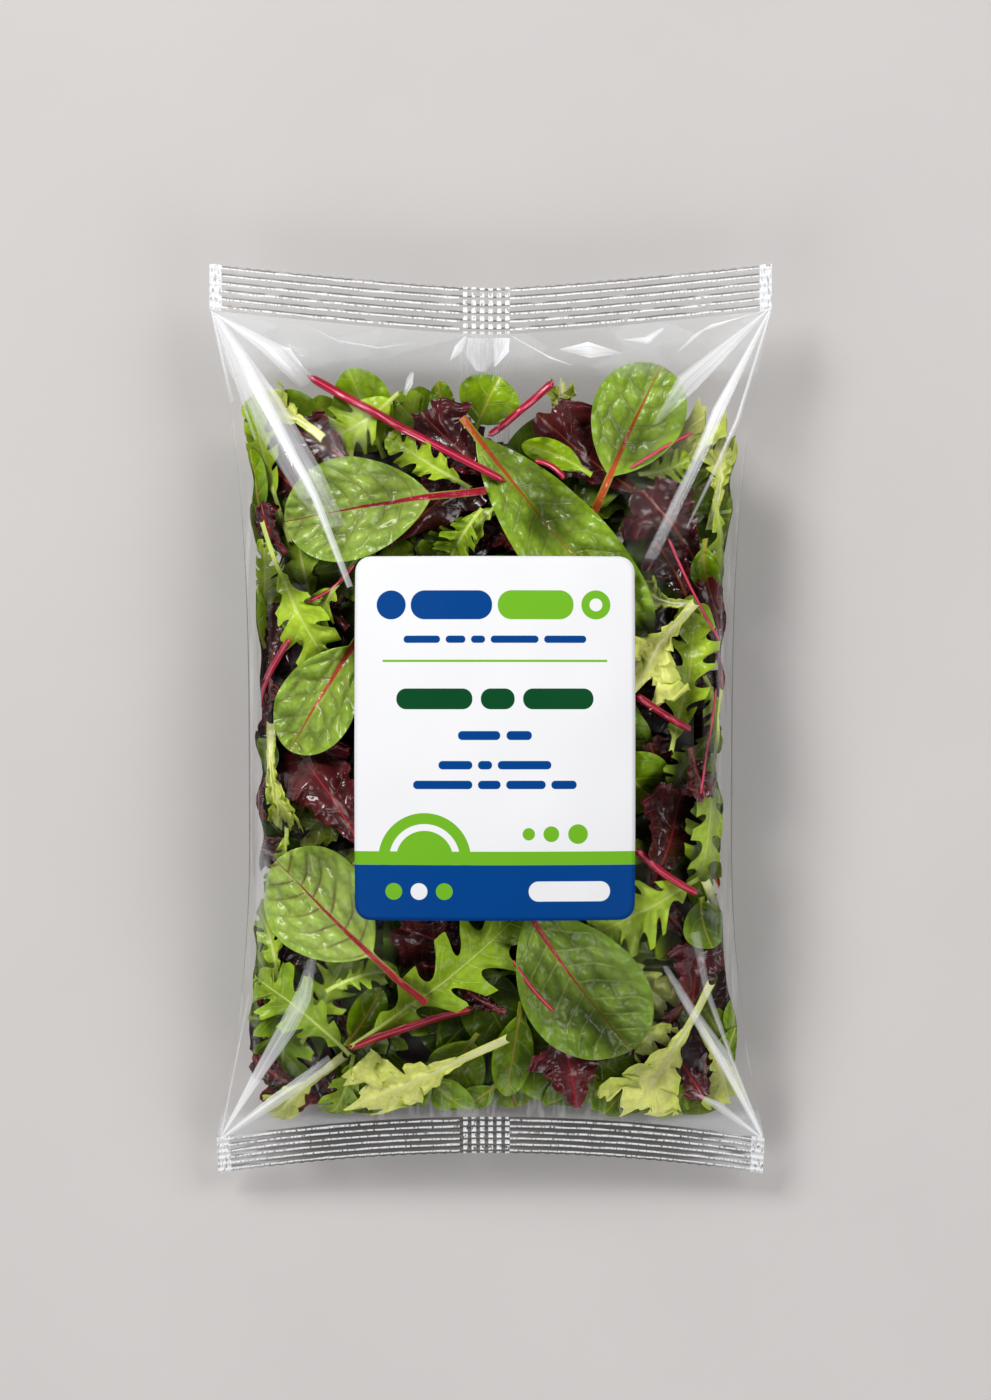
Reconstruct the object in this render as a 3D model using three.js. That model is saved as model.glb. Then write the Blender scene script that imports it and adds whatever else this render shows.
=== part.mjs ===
// A clear pillow bag of baby salad leaves with a card-white label, lying on its back.
// +X is across the bag, +Y runs to the top seal and +Z is up, out of the labelled front.
// The origin is under the middle of the bag, on the surface that it lies on. Millimetres.
import * as THREE from "three";
import { mergeVertices } from "three/addons/utils/BufferGeometryUtils.js";

// Film tube and its two crimped end seals
const LENGTH = 338; // corner to corner, over both seals
const HALF_LENGTH = LENGTH / 2;
const TOP_HALF_WIDTH = 103.5;
const BOTTOM_HALF_WIDTH = 101.7;
const WAIST_HALF_WIDTH = 88.5;
const WAIST_PLACE = 0.36; // share of the filled length, from the bottom seal
const WAIST_TO_TOP_POWER = 3.4;
const WAIST_TO_BOTTOM_POWER = 2.0;
const SEAL_THICKNESS = 0.8;
const TOP_SEAL = { height: 17.2, bow: 9.6, bowPower: 1.3, lift: 30, droop: 0, cornerDrop: 4 };
const BOTTOM_SEAL = { height: 14.5, bow: 8.7, bowPower: 2.0, lift: 23, droop: 7, cornerDrop: 7 };
const CRIMP_COUNT = 6;
const CRIMP_DEPTH = 0.45;

// The filled pillow
const SIDE_LIFT = 32; // height of the side folds over the floor, at the belly
const SIDE_LIFT_POWER = 0.8;
const FRONT_RISE = 36;
const BACK_DROP = 36;
const BELLY_PLACE = 0.42;
const TOP_TAPER_POWER = 2.2;
const BOTTOM_TAPER_POWER = 2.2;
const BOTTOM_TAPER_ROUNDING = 0.8;
const BELLY_SECTION_POWER = 2.4;
const END_SECTION_POWER = 1.9;
const BELLY_SECTION_ROUNDING = 0.5;
const END_SECTION_ROUNDING = 0.85;

// Lengthwise fin seam, folded flat against the back
const FIN_CENTRE = -2.2;
const FIN_WIDTH = 18.6;
const FIN_PROUD = 0.5;
const FIN_EDGE = 0.5;
const WAFFLE_RIBS = 5;
const WAFFLE_DEPTH = 0.35;

// Tension folds that fan out of each corner: degrees from the seal, height, spread in degrees and length
const FOLDS = {
  topLeft: [
    { angle: 37, height: 1.7, spread: 9, length: 52 },
    { angle: 62, height: 2.3, spread: 9, length: 108 },
  ],
  topRight: [
    { angle: 27, height: 1.4, spread: 8, length: 46 },
    { angle: 46, height: 1.9, spread: 9, length: 68 },
    { angle: 66, height: 2.0, spread: 8, length: 100 },
  ],
  bottomLeft: [
    { angle: 34, height: 1.8, spread: 9, length: 58 },
    { angle: 63, height: 2.4, spread: 9, length: 82 },
  ],
  bottomRight: [
    { angle: 34, height: 1.5, spread: 9, length: 46 },
    { angle: 61, height: 2.2, spread: 9, length: 82 },
  ],
};
const FOLD_ROOT = 14;
const BACK_FOLD_SHARE = 0.6; // the back's folds are lower than the front's

// Film that isn't quite taut: slow dents all over, and gathers that run in from each seal
const DENTS = { size: 34, depth: 0.35, turn: 2 };
const GATHERS = { size: 24, depth: 1.1, turn: 5, stretch: 4, reach: 0.08, root: 1 / 30 };

// The plane waves that such unevenness is summed from, each longer than the last and turned another way
const RIPPLE = {
  waves: 5,
  first: 0.75, // length, as a share of the humps' size
  longer: 0.16,
  turnStep: 2.399,
  turnSpread: 1.7,
  shift: 1.3,
  shiftSpread: 3.1,
  peak: 3.2, // what the sum seldom passes
};

// Label
const LABEL = { width: 100, height: 130, corner: 5.5, thickness: 0.5, x: 1.6, y: -5.5 };
const LABEL_GAP = 0.3;
const LABEL_CALM_MARGIN = 14; // the stiff label keeps the film smooth this far out

// Mesh steps
const SIDE_COLUMNS = 16;
const CRIMP_ROWS = CRIMP_COUNT * 2;
const BODY_ROWS = 36;
const LABEL_CORNER_STEPS = 3;
const LABEL_COLUMNS = 10;
const LABEL_ROWS = 13;

const clamp = (value, low, high) => Math.min(high, Math.max(low, value));
const mix = (a, b, share) => a + (b - a) * share;
const smooth = (share) => share * share * (3 - 2 * share);

// Half the bag's width at a share of the filled length, 0 at the bottom seal and 1 at the top one.
function halfWidth(along) {
  if (along > WAIST_PLACE) {
    const reach = ((along - WAIST_PLACE) / (1 - WAIST_PLACE)) ** WAIST_TO_TOP_POWER;
    return mix(WAIST_HALF_WIDTH, TOP_HALF_WIDTH, reach);
  }
  const reach = ((WAIST_PLACE - along) / WAIST_PLACE) ** WAIST_TO_BOTTOM_POWER;
  return mix(WAIST_HALF_WIDTH, BOTTOM_HALF_WIDTH, reach);
}

// How far a seal stands in from its corners, because the filling draws its middle inwards.
const sealBow = (seal, across) => seal.bow * (1 - Math.abs(across) ** seal.bowPower);

// The y of a seal's inner edge, which the pillow starts from.
function innerEdge(seal, end, across) {
  return end * (HALF_LENGTH - seal.height - sealBow(seal, across));
}

// Height over the floor of the sheet that the seals and the side folds lie in.
function midHeight(along, across) {
  const bottom = BOTTOM_SEAL.lift - BOTTOM_SEAL.cornerDrop * across ** 2;
  const top = TOP_SEAL.lift - TOP_SEAL.cornerDrop * across ** 2;
  const ends = mix(bottom, top, along);
  return ends + (SIDE_LIFT - ends) * Math.sin(Math.PI * clamp(along, 0, 1)) ** SIDE_LIFT_POWER;
}

// How full the bag is along its length, from 0 at the seals to 1 at the belly.
function fullness(along) {
  if (along > BELLY_PLACE) {
    return 1 - ((along - BELLY_PLACE) / (1 - BELLY_PLACE)) ** TOP_TAPER_POWER;
  }
  return (1 - ((BELLY_PLACE - along) / BELLY_PLACE) ** BOTTOM_TAPER_POWER) ** BOTTOM_TAPER_ROUNDING;
}

// How full it is across: round at the belly, lens-shaped towards the seals.
function section(along, across) {
  const endness = Math.abs(along * 2 - 1) ** 2;
  const power = mix(BELLY_SECTION_POWER, END_SECTION_POWER, endness);
  const rounding = mix(BELLY_SECTION_ROUNDING, END_SECTION_ROUNDING, endness);
  return Math.max(0, 1 - Math.abs(across) ** power) ** rounding;
}

// 0 under the label and 1 clear of it.
function awayFromLabel(x, y) {
  const dx = Math.max(0, Math.abs(x - LABEL.x) - LABEL.width / 2);
  const dy = Math.max(0, Math.abs(y - LABEL.y) - LABEL.height / 2);
  return smooth(clamp(Math.hypot(dx, dy) / LABEL_CALM_MARGIN, 0, 1));
}

// Relief of the tension folds at a point of the pillow: straight crests that fade towards their ends.
function foldRelief(x, y, along) {
  const top = along > 0.5;
  const folds = FOLDS[(top ? "top" : "bottom") + (x < 0 ? "Left" : "Right")];
  const dx = (top ? TOP_HALF_WIDTH : BOTTOM_HALF_WIDTH) - Math.abs(x);
  const dy = HALF_LENGTH - (top ? TOP_SEAL : BOTTOM_SEAL).height - Math.abs(y);
  const reach = Math.hypot(dx, dy);
  const degrees = THREE.MathUtils.radToDeg(Math.atan2(dy, dx));
  let relief = 0;
  for (const fold of folds) {
    const off = Math.abs(degrees - fold.angle) / fold.spread;
    const fade = smooth(clamp(2 - (2 * reach) / fold.length, 0, 1));
    relief += fold.height * Math.max(0, 1 - off) * fade;
  }
  return relief * smooth(clamp(reach / FOLD_ROOT, 0, 1)) * awayFromLabel(x, y);
}

// Soft unevenness between about -1 and 1, with humps of the given size.
function ripple(x, y, size, turn) {
  let total = 0;
  for (let wave = 0; wave < RIPPLE.waves; wave++) {
    const angle = turn * RIPPLE.turnSpread + wave * RIPPLE.turnStep;
    const pitch = (2 * Math.PI) / (size * (RIPPLE.first + RIPPLE.longer * wave));
    const phase = turn * RIPPLE.shiftSpread + wave * RIPPLE.shift;
    total += Math.sin((x * Math.cos(angle) + y * Math.sin(angle)) * pitch + phase);
  }
  return total / RIPPLE.peak;
}

// How far the film stands off its taut form, up or down. It is 0 where a seal holds it.
function slackness(x, y, along) {
  const toSeal = Math.min(along, 1 - along);
  const dents = DENTS.depth * ripple(x, y, DENTS.size, DENTS.turn);
  const gathers = GATHERS.depth * ripple(x, y / GATHERS.stretch, GATHERS.size, GATHERS.turn);
  const gathered = Math.exp(-((toSeal / GATHERS.reach) ** 2));
  return (dents + gathers * gathered) * smooth(clamp(toSeal / GATHERS.root, 0, 1));
}

// Front surface of the filled pillow.
function frontPoint(along, across) {
  const x = across * halfWidth(along);
  const y = mix(innerEdge(BOTTOM_SEAL, -1, across), innerEdge(TOP_SEAL, 1, across), along);
  const swell = fullness(along) * section(along, across);
  const folded = foldRelief(x, y, along) * clamp(swell * 3, 0, 1);
  const slack = slackness(x, y, along) * clamp(swell * 4, 0, 1);
  const lift = FRONT_RISE * swell + folded + slack;
  return new THREE.Vector3(x, y, midHeight(along, across) + Math.max(SEAL_THICKNESS / 2, lift));
}

// 1 on the fin seam and 0 beside it.
function onFin(x) {
  return clamp((FIN_WIDTH / 2 + FIN_EDGE - Math.abs(x - FIN_CENTRE)) / FIN_EDGE, 0, 1);
}

// Back surface, flattened where the bag lies on the floor.
function backPoint(along, across) {
  const x = across * halfWidth(along);
  const y = mix(innerEdge(BOTTOM_SEAL, -1, across), innerEdge(TOP_SEAL, 1, across), along);
  const swell = fullness(along) * section(along, across);
  const folded = BACK_FOLD_SHARE * foldRelief(x, y, along) * clamp(swell * 3, 0, 1);
  const slack = slackness(x, y, along) * clamp(swell * 4, 0, 1);
  const drop = BACK_DROP * swell + folded - slack;
  const sheet = midHeight(along, across) - Math.max(SEAL_THICKNESS / 2, drop);
  return new THREE.Vector3(x, y, Math.max(0, sheet - FIN_PROUD * onFin(x)));
}

// A point of a crimped end seal. out is 0 at the pillow and 1 at the cut edge.
function sealPoint(seal, end, across, out, side) {
  const along = end > 0 ? 1 : 0;
  const x = across * halfWidth(along);
  const inner = innerEdge(seal, end, across);
  const y = inner + end * seal.height * out;
  const crimp = CRIMP_DEPTH * (0.5 - 0.5 * Math.cos(out * CRIMP_COUNT * 2 * Math.PI));
  const finShare = (x - FIN_CENTRE) / FIN_WIDTH + 0.5;
  const waffle = onFin(x) * WAFFLE_DEPTH * (0.5 - 0.5 * Math.cos(finShare * WAFFLE_RIBS * 2 * Math.PI));
  const fin = side < 0 ? FIN_PROUD * onFin(x) : 0;
  const z = midHeight(along, across) - seal.droop * out + crimp + waffle;
  return new THREE.Vector3(x, y, z + side * (SEAL_THICKNESS / 2) - fin);
}

// Places of the grid's columns across the bag: dense at the side folds, and on the fin seam's ribs.
function columnPlaces() {
  const toShare = (x) => x / TOP_HALF_WIDTH;
  const finLeft = toShare(FIN_CENTRE - FIN_WIDTH / 2);
  const finRight = toShare(FIN_CENTRE + FIN_WIDTH / 2);
  const edge = toShare(FIN_EDGE);
  const places = [];
  for (let i = 0; i < SIDE_COLUMNS; i++) {
    const turn = mix(-Math.PI / 2, Math.asin(finLeft - edge), i / SIDE_COLUMNS);
    places.push(Math.sin(turn));
  }
  places.push(finLeft - edge);
  for (let i = 0; i <= WAFFLE_RIBS * 2; i++) {
    places.push(mix(finLeft, finRight, i / (WAFFLE_RIBS * 2)));
  }
  places.push(finRight + edge);
  for (let i = 1; i <= SIDE_COLUMNS; i++) {
    const turn = mix(Math.asin(finRight + edge), Math.PI / 2, i / SIDE_COLUMNS);
    places.push(Math.sin(turn));
  }
  return places;
}

// Bends a closed grid box of columns by rows into a solid: place(column, row, side) gives each vertex.
function bentBox(columns, rows, place) {
  const box = new THREE.BoxGeometry(2, 2, 2, columns, rows, 1);
  box.deleteAttribute("normal");
  box.deleteAttribute("uv");
  const grid = mergeVertices(box);
  const spots = grid.getAttribute("position");
  for (let i = 0; i < spots.count; i++) {
    const column = Math.round(((spots.getX(i) + 1) / 2) * columns);
    const row = Math.round(((spots.getY(i) + 1) / 2) * rows);
    const point = place(column, row, Math.sign(spots.getZ(i)));
    spots.setXYZ(i, point.x, point.y, point.z);
  }
  grid.computeVertexNormals();
  return grid;
}

// The whole film bag: bottom seal, pillow and top seal in one closed grid.
function filmBag() {
  const places = columnPlaces();
  const rows = CRIMP_ROWS * 2 + BODY_ROWS;
  return bentBox(places.length - 1, rows, (column, row, side) => {
    const across = places[column];
    if (row < CRIMP_ROWS) {
      return sealPoint(BOTTOM_SEAL, -1, across, 1 - row / CRIMP_ROWS, side);
    }
    if (row > CRIMP_ROWS + BODY_ROWS) {
      return sealPoint(TOP_SEAL, 1, across, (row - CRIMP_ROWS - BODY_ROWS) / CRIMP_ROWS, side);
    }
    const step = (row - CRIMP_ROWS) / BODY_ROWS;
    const along = 0.5 - 0.5 * Math.cos(step * Math.PI);
    return side > 0 ? frontPoint(along, across) : backPoint(along, across);
  });
}

// Solves for the shares of the pillow's grid that lie over a plan point, and gives the front's height there.
function frontHeight(x, y) {
  let along = (y + HALF_LENGTH) / LENGTH;
  let across = x / WAIST_HALF_WIDTH;
  for (let i = 0; i < 12; i++) {
    const low = innerEdge(BOTTOM_SEAL, -1, across);
    const high = innerEdge(TOP_SEAL, 1, across);
    along = clamp((y - low) / (high - low), 0, 1);
    across = x / halfWidth(along);
  }
  return frontPoint(along, across).z;
}

// Grid steps of one side of the label, with short steps in the rounded corners.
function labelSteps(size, middleSteps) {
  const half = size / 2;
  const steps = [];
  for (let i = 0; i < LABEL_CORNER_STEPS; i++) {
    steps.push(-half + (LABEL.corner * i) / LABEL_CORNER_STEPS);
  }
  for (let i = 0; i <= middleSteps; i++) {
    steps.push(mix(-half + LABEL.corner, half - LABEL.corner, i / middleSteps));
  }
  for (let i = 1; i <= LABEL_CORNER_STEPS; i++) {
    steps.push(half - LABEL.corner + (LABEL.corner * i) / LABEL_CORNER_STEPS);
  }
  return steps;
}

// Pulls a point of the label's square corner zone onto a quarter disc.
function roundCorner(x, y) {
  const overX = Math.abs(x) - (LABEL.width / 2 - LABEL.corner);
  const overY = Math.abs(y) - (LABEL.height / 2 - LABEL.corner);
  if (overX <= 0 || overY <= 0) {
    return [x, y];
  }
  const shrink = Math.max(overX, overY) / Math.hypot(overX, overY);
  const cornerX = LABEL.width / 2 - LABEL.corner + overX * shrink;
  const cornerY = LABEL.height / 2 - LABEL.corner + overY * shrink;
  return [Math.sign(x) * cornerX, Math.sign(y) * cornerY];
}

// The label: a thin sheet that follows the front of the pillow.
function labelSheet() {
  const xs = labelSteps(LABEL.width, LABEL_COLUMNS);
  const ys = labelSteps(LABEL.height, LABEL_ROWS);
  return bentBox(xs.length - 1, ys.length - 1, (column, row, side) => {
    const [x, y] = roundCorner(xs[column], ys[row]);
    const lift = side > 0 ? LABEL_GAP + LABEL.thickness : LABEL_GAP;
    return new THREE.Vector3(x + LABEL.x, y + LABEL.y, frontHeight(x + LABEL.x, y + LABEL.y) + lift);
  });
}

function namedMesh(name, geometry, material) {
  const mesh = new THREE.Mesh(geometry, new THREE.MeshStandardMaterial(material));
  mesh.name = name;
  return mesh;
}

const bag = new THREE.Group();
bag.add(
  namedMesh("filled_bag", filmBag(), { color: 0x5f8a2c, roughness: 0.2, metalness: 0 }),
  namedMesh("label", labelSheet(), { color: 0xf4f5f3, roughness: 0.45, metalness: 0 }),
);

export default bag;
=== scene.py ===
# A clear pillow bag of baby salad leaves, lying on its back with its label up.
# Sizes are given in millimetres and the meshes are in metres.
import math
import random

import bmesh
import bpy
import numpy as np
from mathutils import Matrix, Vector


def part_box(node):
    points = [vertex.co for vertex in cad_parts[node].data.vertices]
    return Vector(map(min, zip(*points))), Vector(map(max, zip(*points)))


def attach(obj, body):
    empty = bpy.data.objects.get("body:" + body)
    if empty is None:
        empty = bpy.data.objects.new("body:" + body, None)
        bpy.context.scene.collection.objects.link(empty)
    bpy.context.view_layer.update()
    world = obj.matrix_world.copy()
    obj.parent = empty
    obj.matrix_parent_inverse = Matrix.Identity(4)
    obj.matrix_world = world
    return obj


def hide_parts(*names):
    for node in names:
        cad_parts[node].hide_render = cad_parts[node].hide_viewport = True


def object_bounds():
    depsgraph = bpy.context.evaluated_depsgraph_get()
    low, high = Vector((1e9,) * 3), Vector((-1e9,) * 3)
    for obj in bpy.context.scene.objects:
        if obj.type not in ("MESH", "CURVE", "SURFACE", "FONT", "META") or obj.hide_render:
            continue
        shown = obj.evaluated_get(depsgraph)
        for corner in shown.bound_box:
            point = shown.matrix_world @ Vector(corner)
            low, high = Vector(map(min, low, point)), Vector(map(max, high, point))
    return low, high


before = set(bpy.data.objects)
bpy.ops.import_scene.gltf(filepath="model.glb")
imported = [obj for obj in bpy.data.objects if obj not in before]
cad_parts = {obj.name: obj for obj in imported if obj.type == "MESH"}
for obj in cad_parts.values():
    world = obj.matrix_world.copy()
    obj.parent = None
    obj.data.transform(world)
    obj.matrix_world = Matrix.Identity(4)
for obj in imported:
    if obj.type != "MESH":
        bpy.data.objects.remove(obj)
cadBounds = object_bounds()
cadLow, cadHigh = [Vector(corner) for corner in cadBounds]
labelLow, labelHigh = [Vector(corner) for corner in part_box("label")]
mm = 0.001
print("frame loaded")


# Mesh helpers
def smooth(share):
    share = np.clip(share, 0, 1)
    return share * share * (3 - 2 * share)


def mix(a, b, share):
    return a + (b - a) * share


# Soft unevenness between -1 and 1, with humps about size mm across
def ripple(x, y, size, seed):
    total = 0
    for turn in range(5):
        angle = seed * 1.7 + turn * 2.399
        pitch = 2 * math.pi / (size * (0.75 + 0.16 * turn))
        along = x * math.cos(angle) + y * math.sin(angle)
        total = total + np.sin(along * pitch + seed * 3.1 + turn * 1.3)
    return total / 3.2


# Puckers one unit across: domes that are 1 in the middle and 0 on the creases between them
def puckers(u, v, seed):
    column, row = np.floor(u), np.floor(v)
    nearest = np.full_like(u, 9.0)
    second = np.full_like(u, 9.0)
    for i in (-1, 0, 1):
        for j in (-1, 0, 1):
            a, b = column + i, row + j
            shiftU = np.sin(a * 127.1 + b * 311.7 + seed) * 43758.5453
            shiftV = np.sin(a * 269.5 + b * 183.3 + seed) * 43758.5453
            spotU = a + 0.5 + 0.34 * (2 * (shiftU - np.floor(shiftU)) - 1)
            spotV = b + 0.5 + 0.2 * (2 * (shiftV - np.floor(shiftV)) - 1)
            away = np.hypot(u - spotU, v - spotV)
            second = np.minimum(second, np.maximum(nearest, away))
            nearest = np.minimum(nearest, away)
    dome = np.clip((second - nearest) * 1.15, 0, 1)
    return dome * (2 - dome)


# Adds a grid to a bmesh and gives its vertices with their places in it, each from -1 to 1
def addGrid(bm, columns, rows):
    made = bmesh.ops.create_grid(bm, x_segments=columns, y_segments=rows, size=1)["verts"]
    places = np.array([vert.co[:2] for vert in made])
    return made, places[:, 0], places[:, 1]


def moveTo(verts, x, y, z):
    for vert, place in zip(verts, np.column_stack((x, y, z)) * mm):
        vert.co = place


def turnOver(bm, verts):
    faces = {face for vert in verts for face in vert.link_faces}
    bmesh.ops.reverse_faces(bm, faces=list(faces))


def finishPiece(name, bm, material, mergeGap=0.004):
    bmesh.ops.remove_doubles(bm, verts=bm.verts, dist=mergeGap * mm)
    mesh = bpy.data.meshes.new(name)
    bm.to_mesh(mesh)
    bm.free()
    mesh.polygons.foreach_set("use_smooth", [True] * len(mesh.polygons))
    piece = bpy.data.objects.new(name, mesh)
    bpy.context.scene.collection.objects.link(piece)
    mesh.materials.append(material)
    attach(piece, "root")
    return piece


# Shader helpers
def put(tree, kind, inputs=None, **settings):
    node = tree.nodes.new(kind)
    for name, value in settings.items():
        setattr(node, name, value)
    for name, value in (inputs or {}).items():
        socket = node.inputs[name]
        if isinstance(value, bpy.types.NodeSocket):
            tree.links.new(value, socket)
        else:
            socket.default_value = value
    return node


def sums(tree, operation, *values, clamp=False):
    node = put(tree, "ShaderNodeMath", dict(enumerate(values)), operation=operation, use_clamp=clamp)
    return node.outputs[0]


# 0 below low and 1 above high, with a soft step between them
def ramp(tree, value, low, high):
    inputs = {"Value": value, 1: low, 2: high}
    return put(tree, "ShaderNodeMapRange", inputs, interpolation_type="SMOOTHSTEP").outputs[0]


def times(tree, a, b):
    return sums(tree, "MULTIPLY", a, b)


def larger(tree, a, b):
    return sums(tree, "MAXIMUM", a, b)


def inverse(tree, value):
    return sums(tree, "SUBTRACT", 1, value)


def apart(tree, a, b):
    return sums(tree, "ABSOLUTE", sums(tree, "SUBTRACT", a, b))


def blend(tree, share, a, b):
    return put(tree, "ShaderNodeMix", {0: share, 6: a, 7: b}, data_type="RGBA").outputs[2]


def split(tree, vector):
    return put(tree, "ShaderNodeSeparateXYZ", {0: vector}).outputs


def objectPlace(tree):
    return put(tree, "ShaderNodeTexCoord").outputs["Object"]


def attribute(tree, name):
    return put(tree, "ShaderNodeAttribute", attribute_name=name).outputs


def stretched(tree, place, factors):
    return put(tree, "ShaderNodeVectorMath", {0: place, 1: factors}, operation="MULTIPLY").outputs[0]


def noise(tree, place, scale, detail):
    return put(tree, "ShaderNodeTexNoise", {"Vector": place, "Scale": scale, "Detail": detail}).outputs[0]


def turnedAway(tree):
    return put(tree, "ShaderNodeLayerWeight", {"Blend": 0.5}).outputs["Facing"]


def showSurface(tree, surface):
    put(tree, "ShaderNodeOutputMaterial", {"Surface": surface})


def newMaterial(name):
    material = bpy.data.materials.new(name)
    material.use_nodes = True
    material.node_tree.nodes.clear()
    return material, material.node_tree


def newGroup(name, inputs, outputs):
    group = bpy.data.node_groups.new(name, "ShaderNodeTree")
    for title, value in inputs.items():
        vector = isinstance(value, tuple)
        kind = "NodeSocketVector" if vector else "NodeSocketFloat"
        socket = group.interface.new_socket(name=title, in_out="INPUT", socket_type=kind)
        socket.default_value = value
    for title in outputs:
        group.interface.new_socket(name=title, in_out="OUTPUT", socket_type="NodeSocketFloat")
    entry = group.nodes.new("NodeGroupInput")
    leave = group.nodes.new("NodeGroupOutput")
    return group, entry.outputs, leave


def placeGroup(tree, group, inputs):
    return put(tree, "ShaderNodeGroup", inputs, node_tree=group).outputs


# A colour as a picture gives it, from 0 to 255, made linear
def linear(*colour):
    parts = [((part / 255 + 0.055) / 1.055) ** 2.4 if part > 10 else part / 3295 for part in colour]
    return (*parts, 1)


# Camera: it looks straight down on the bag, as the photograph looks straight at it
view = {
    "height": 1150.0,  # over the surface that the bag lies on
    "x": 1.8,
    "y": 8.1,
    "lens": 78.5,  # on a 36 mm sensor
    "pictureWidth": 991,
    "pictureHeight": 1400,
}
cameraData = bpy.data.cameras.new("camera")
cameraData.lens = view["lens"]
cameraData.sensor_width = 36.0
cameraData.clip_start = 0.05
camera = bpy.data.objects.new("camera", cameraData)
camera.location = (view["x"] * mm, view["y"] * mm, view["height"] * mm)
bpy.context.scene.collection.objects.link(camera)
bpy.context.scene.camera = camera
print("camera placed")


# Film: the same pillow as the solid that it replaces
filmForm = {
    "length": (cadHigh.y - cadLow.y) / mm,
    "topHalf": (cadHigh.x - cadLow.x) / 2 / mm,
    "bottomHalf": 101.7,
    "waistHalf": 88.5,
    "waistPlace": 0.36,
    "towardsTop": 3.4,
    "towardsBottom": 2.0,
    "sideLift": 32.0,
    "rise": 36.0,
    "drop": 36.0,
    "bellyPlace": 0.42,
    "taper": 2.2,
    "bottomRounding": 0.8,
    "sideRise": 0.8,
    "crossPower": (2.4, 1.9),  # how boxy the section is, at the belly and at the ends
    "crossRounding": (0.5, 0.85),
    "backFolds": 0.6,  # the folds are lower on the back
    "least": 0.2,
}
topSeal = {
    "end": 1, "height": 17.2, "bow": 9.6, "bowPower": 1.3, "lift": 30, "droop": 0, "cornerDrop": 4,
}
bottomSeal = {
    "end": -1, "height": 14.5, "bow": 8.7, "bowPower": 2.0, "lift": 23, "droop": 7, "cornerDrop": 7,
}
finSeam = {"centre": -2.2, "width": 18.6, "columns": 12, "rows": 150, "under": 0.25}


def halfWidth(along):
    form = filmForm
    up = np.clip((along - form["waistPlace"]) / (1 - form["waistPlace"]), 0, 1) ** form["towardsTop"]
    down = np.clip((form["waistPlace"] - along) / form["waistPlace"], 0, 1) ** form["towardsBottom"]
    wide = mix(form["waistHalf"], form["topHalf"], up)
    return wide + (form["bottomHalf"] - form["waistHalf"]) * down


def innerEdge(seal, across):
    bow = seal["bow"] * (1 - np.abs(across) ** seal["bowPower"])
    return seal["end"] * (filmForm["length"] / 2 - seal["height"] - bow)


def midHeight(along, across):
    bottom = bottomSeal["lift"] - bottomSeal["cornerDrop"] * across**2
    top = topSeal["lift"] - topSeal["cornerDrop"] * across**2
    ends = mix(bottom, top, along)
    rise = np.sin(np.pi * np.clip(along, 0, 1)) ** filmForm["sideRise"]
    return ends + (filmForm["sideLift"] - ends) * rise


def swell(along, across):
    belly = filmForm["bellyPlace"]
    up = 1 - np.clip((along - belly) / (1 - belly), 0, 1) ** filmForm["taper"]
    down = (1 - np.clip((belly - along) / belly, 0, 1) ** filmForm["taper"]) ** filmForm["bottomRounding"]
    endness = np.abs(along * 2 - 1) ** 2
    power = mix(*filmForm["crossPower"], endness)
    rounding = mix(*filmForm["crossRounding"], endness)
    return up * down * np.clip(1 - np.abs(across) ** power, 0, 1) ** rounding


# Folds that fan out of each corner, by end and side: degrees from the seal, height, spread and length
cornerFolds = {
    (1, -1): [(37, 1.7, 9, 52), (62, 2.3, 9, 108)],
    (1, 1): [(27, 1.4, 8, 46), (46, 1.9, 9, 68), (66, 2.0, 8, 100)],
    (-1, -1): [(34, 1.8, 9, 58), (63, 2.4, 9, 82)],
    (-1, 1): [(34, 1.5, 9, 46), (61, 2.2, 9, 82)],
}
foldRoot = 14.0
calmMargin = 14.0  # the stiff label keeps the film smooth this far out


def awayFromLabel(x, y):
    over = []
    for place, low, high in ((x, labelLow.x, labelHigh.x), (y, labelLow.y, labelHigh.y)):
        over.append(np.maximum(np.abs(place - (low + high) / 2 / mm) - (high - low) / 2 / mm, 0))
    return smooth(np.hypot(*over) / calmMargin)


def foldRelief(x, y, along):
    relief = np.zeros_like(x)
    for (end, hand), corner in cornerFolds.items():
        seal = topSeal if end > 0 else bottomSeal
        wide = filmForm["topHalf"] if end > 0 else filmForm["bottomHalf"]
        dx = wide - np.abs(x)
        dy = filmForm["length"] / 2 - seal["height"] - np.abs(y)
        reach = np.hypot(dx, dy)
        degrees = np.degrees(np.arctan2(dy, dx))
        here = ((along > 0.5) == (end > 0)) & ((x < 0) == (hand < 0))
        for angle, height, spread, length in corner:
            crest = height * np.clip(1 - np.abs(degrees - angle) / spread, 0, 1)
            relief = relief + here * crest * smooth(2 - 2 * reach / length) * smooth(reach / foldRoot)
    return relief * awayFromLabel(x, y)


# The film isn't quite taut: slow dents everywhere, and gathers that run in from each seal
slackForm = {
    "dents": 0.35, "dentSize": 34,
    "gathers": 1.1, "gatherSize": 24, "gatherLength": 4, "gatherReach": 0.08,
}


def slackness(x, y, along):
    form = slackForm
    toSeal = np.minimum(along, 1 - along)
    dents = form["dents"] * ripple(x, y, form["dentSize"], 2.0)
    gathers = form["gathers"] * ripple(x, y / form["gatherLength"], form["gatherSize"], 5.0)
    gathers = gathers * np.exp(-((toSeal / form["gatherReach"]) ** 2))
    return (dents + gathers) * smooth(toSeal * 30)


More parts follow.
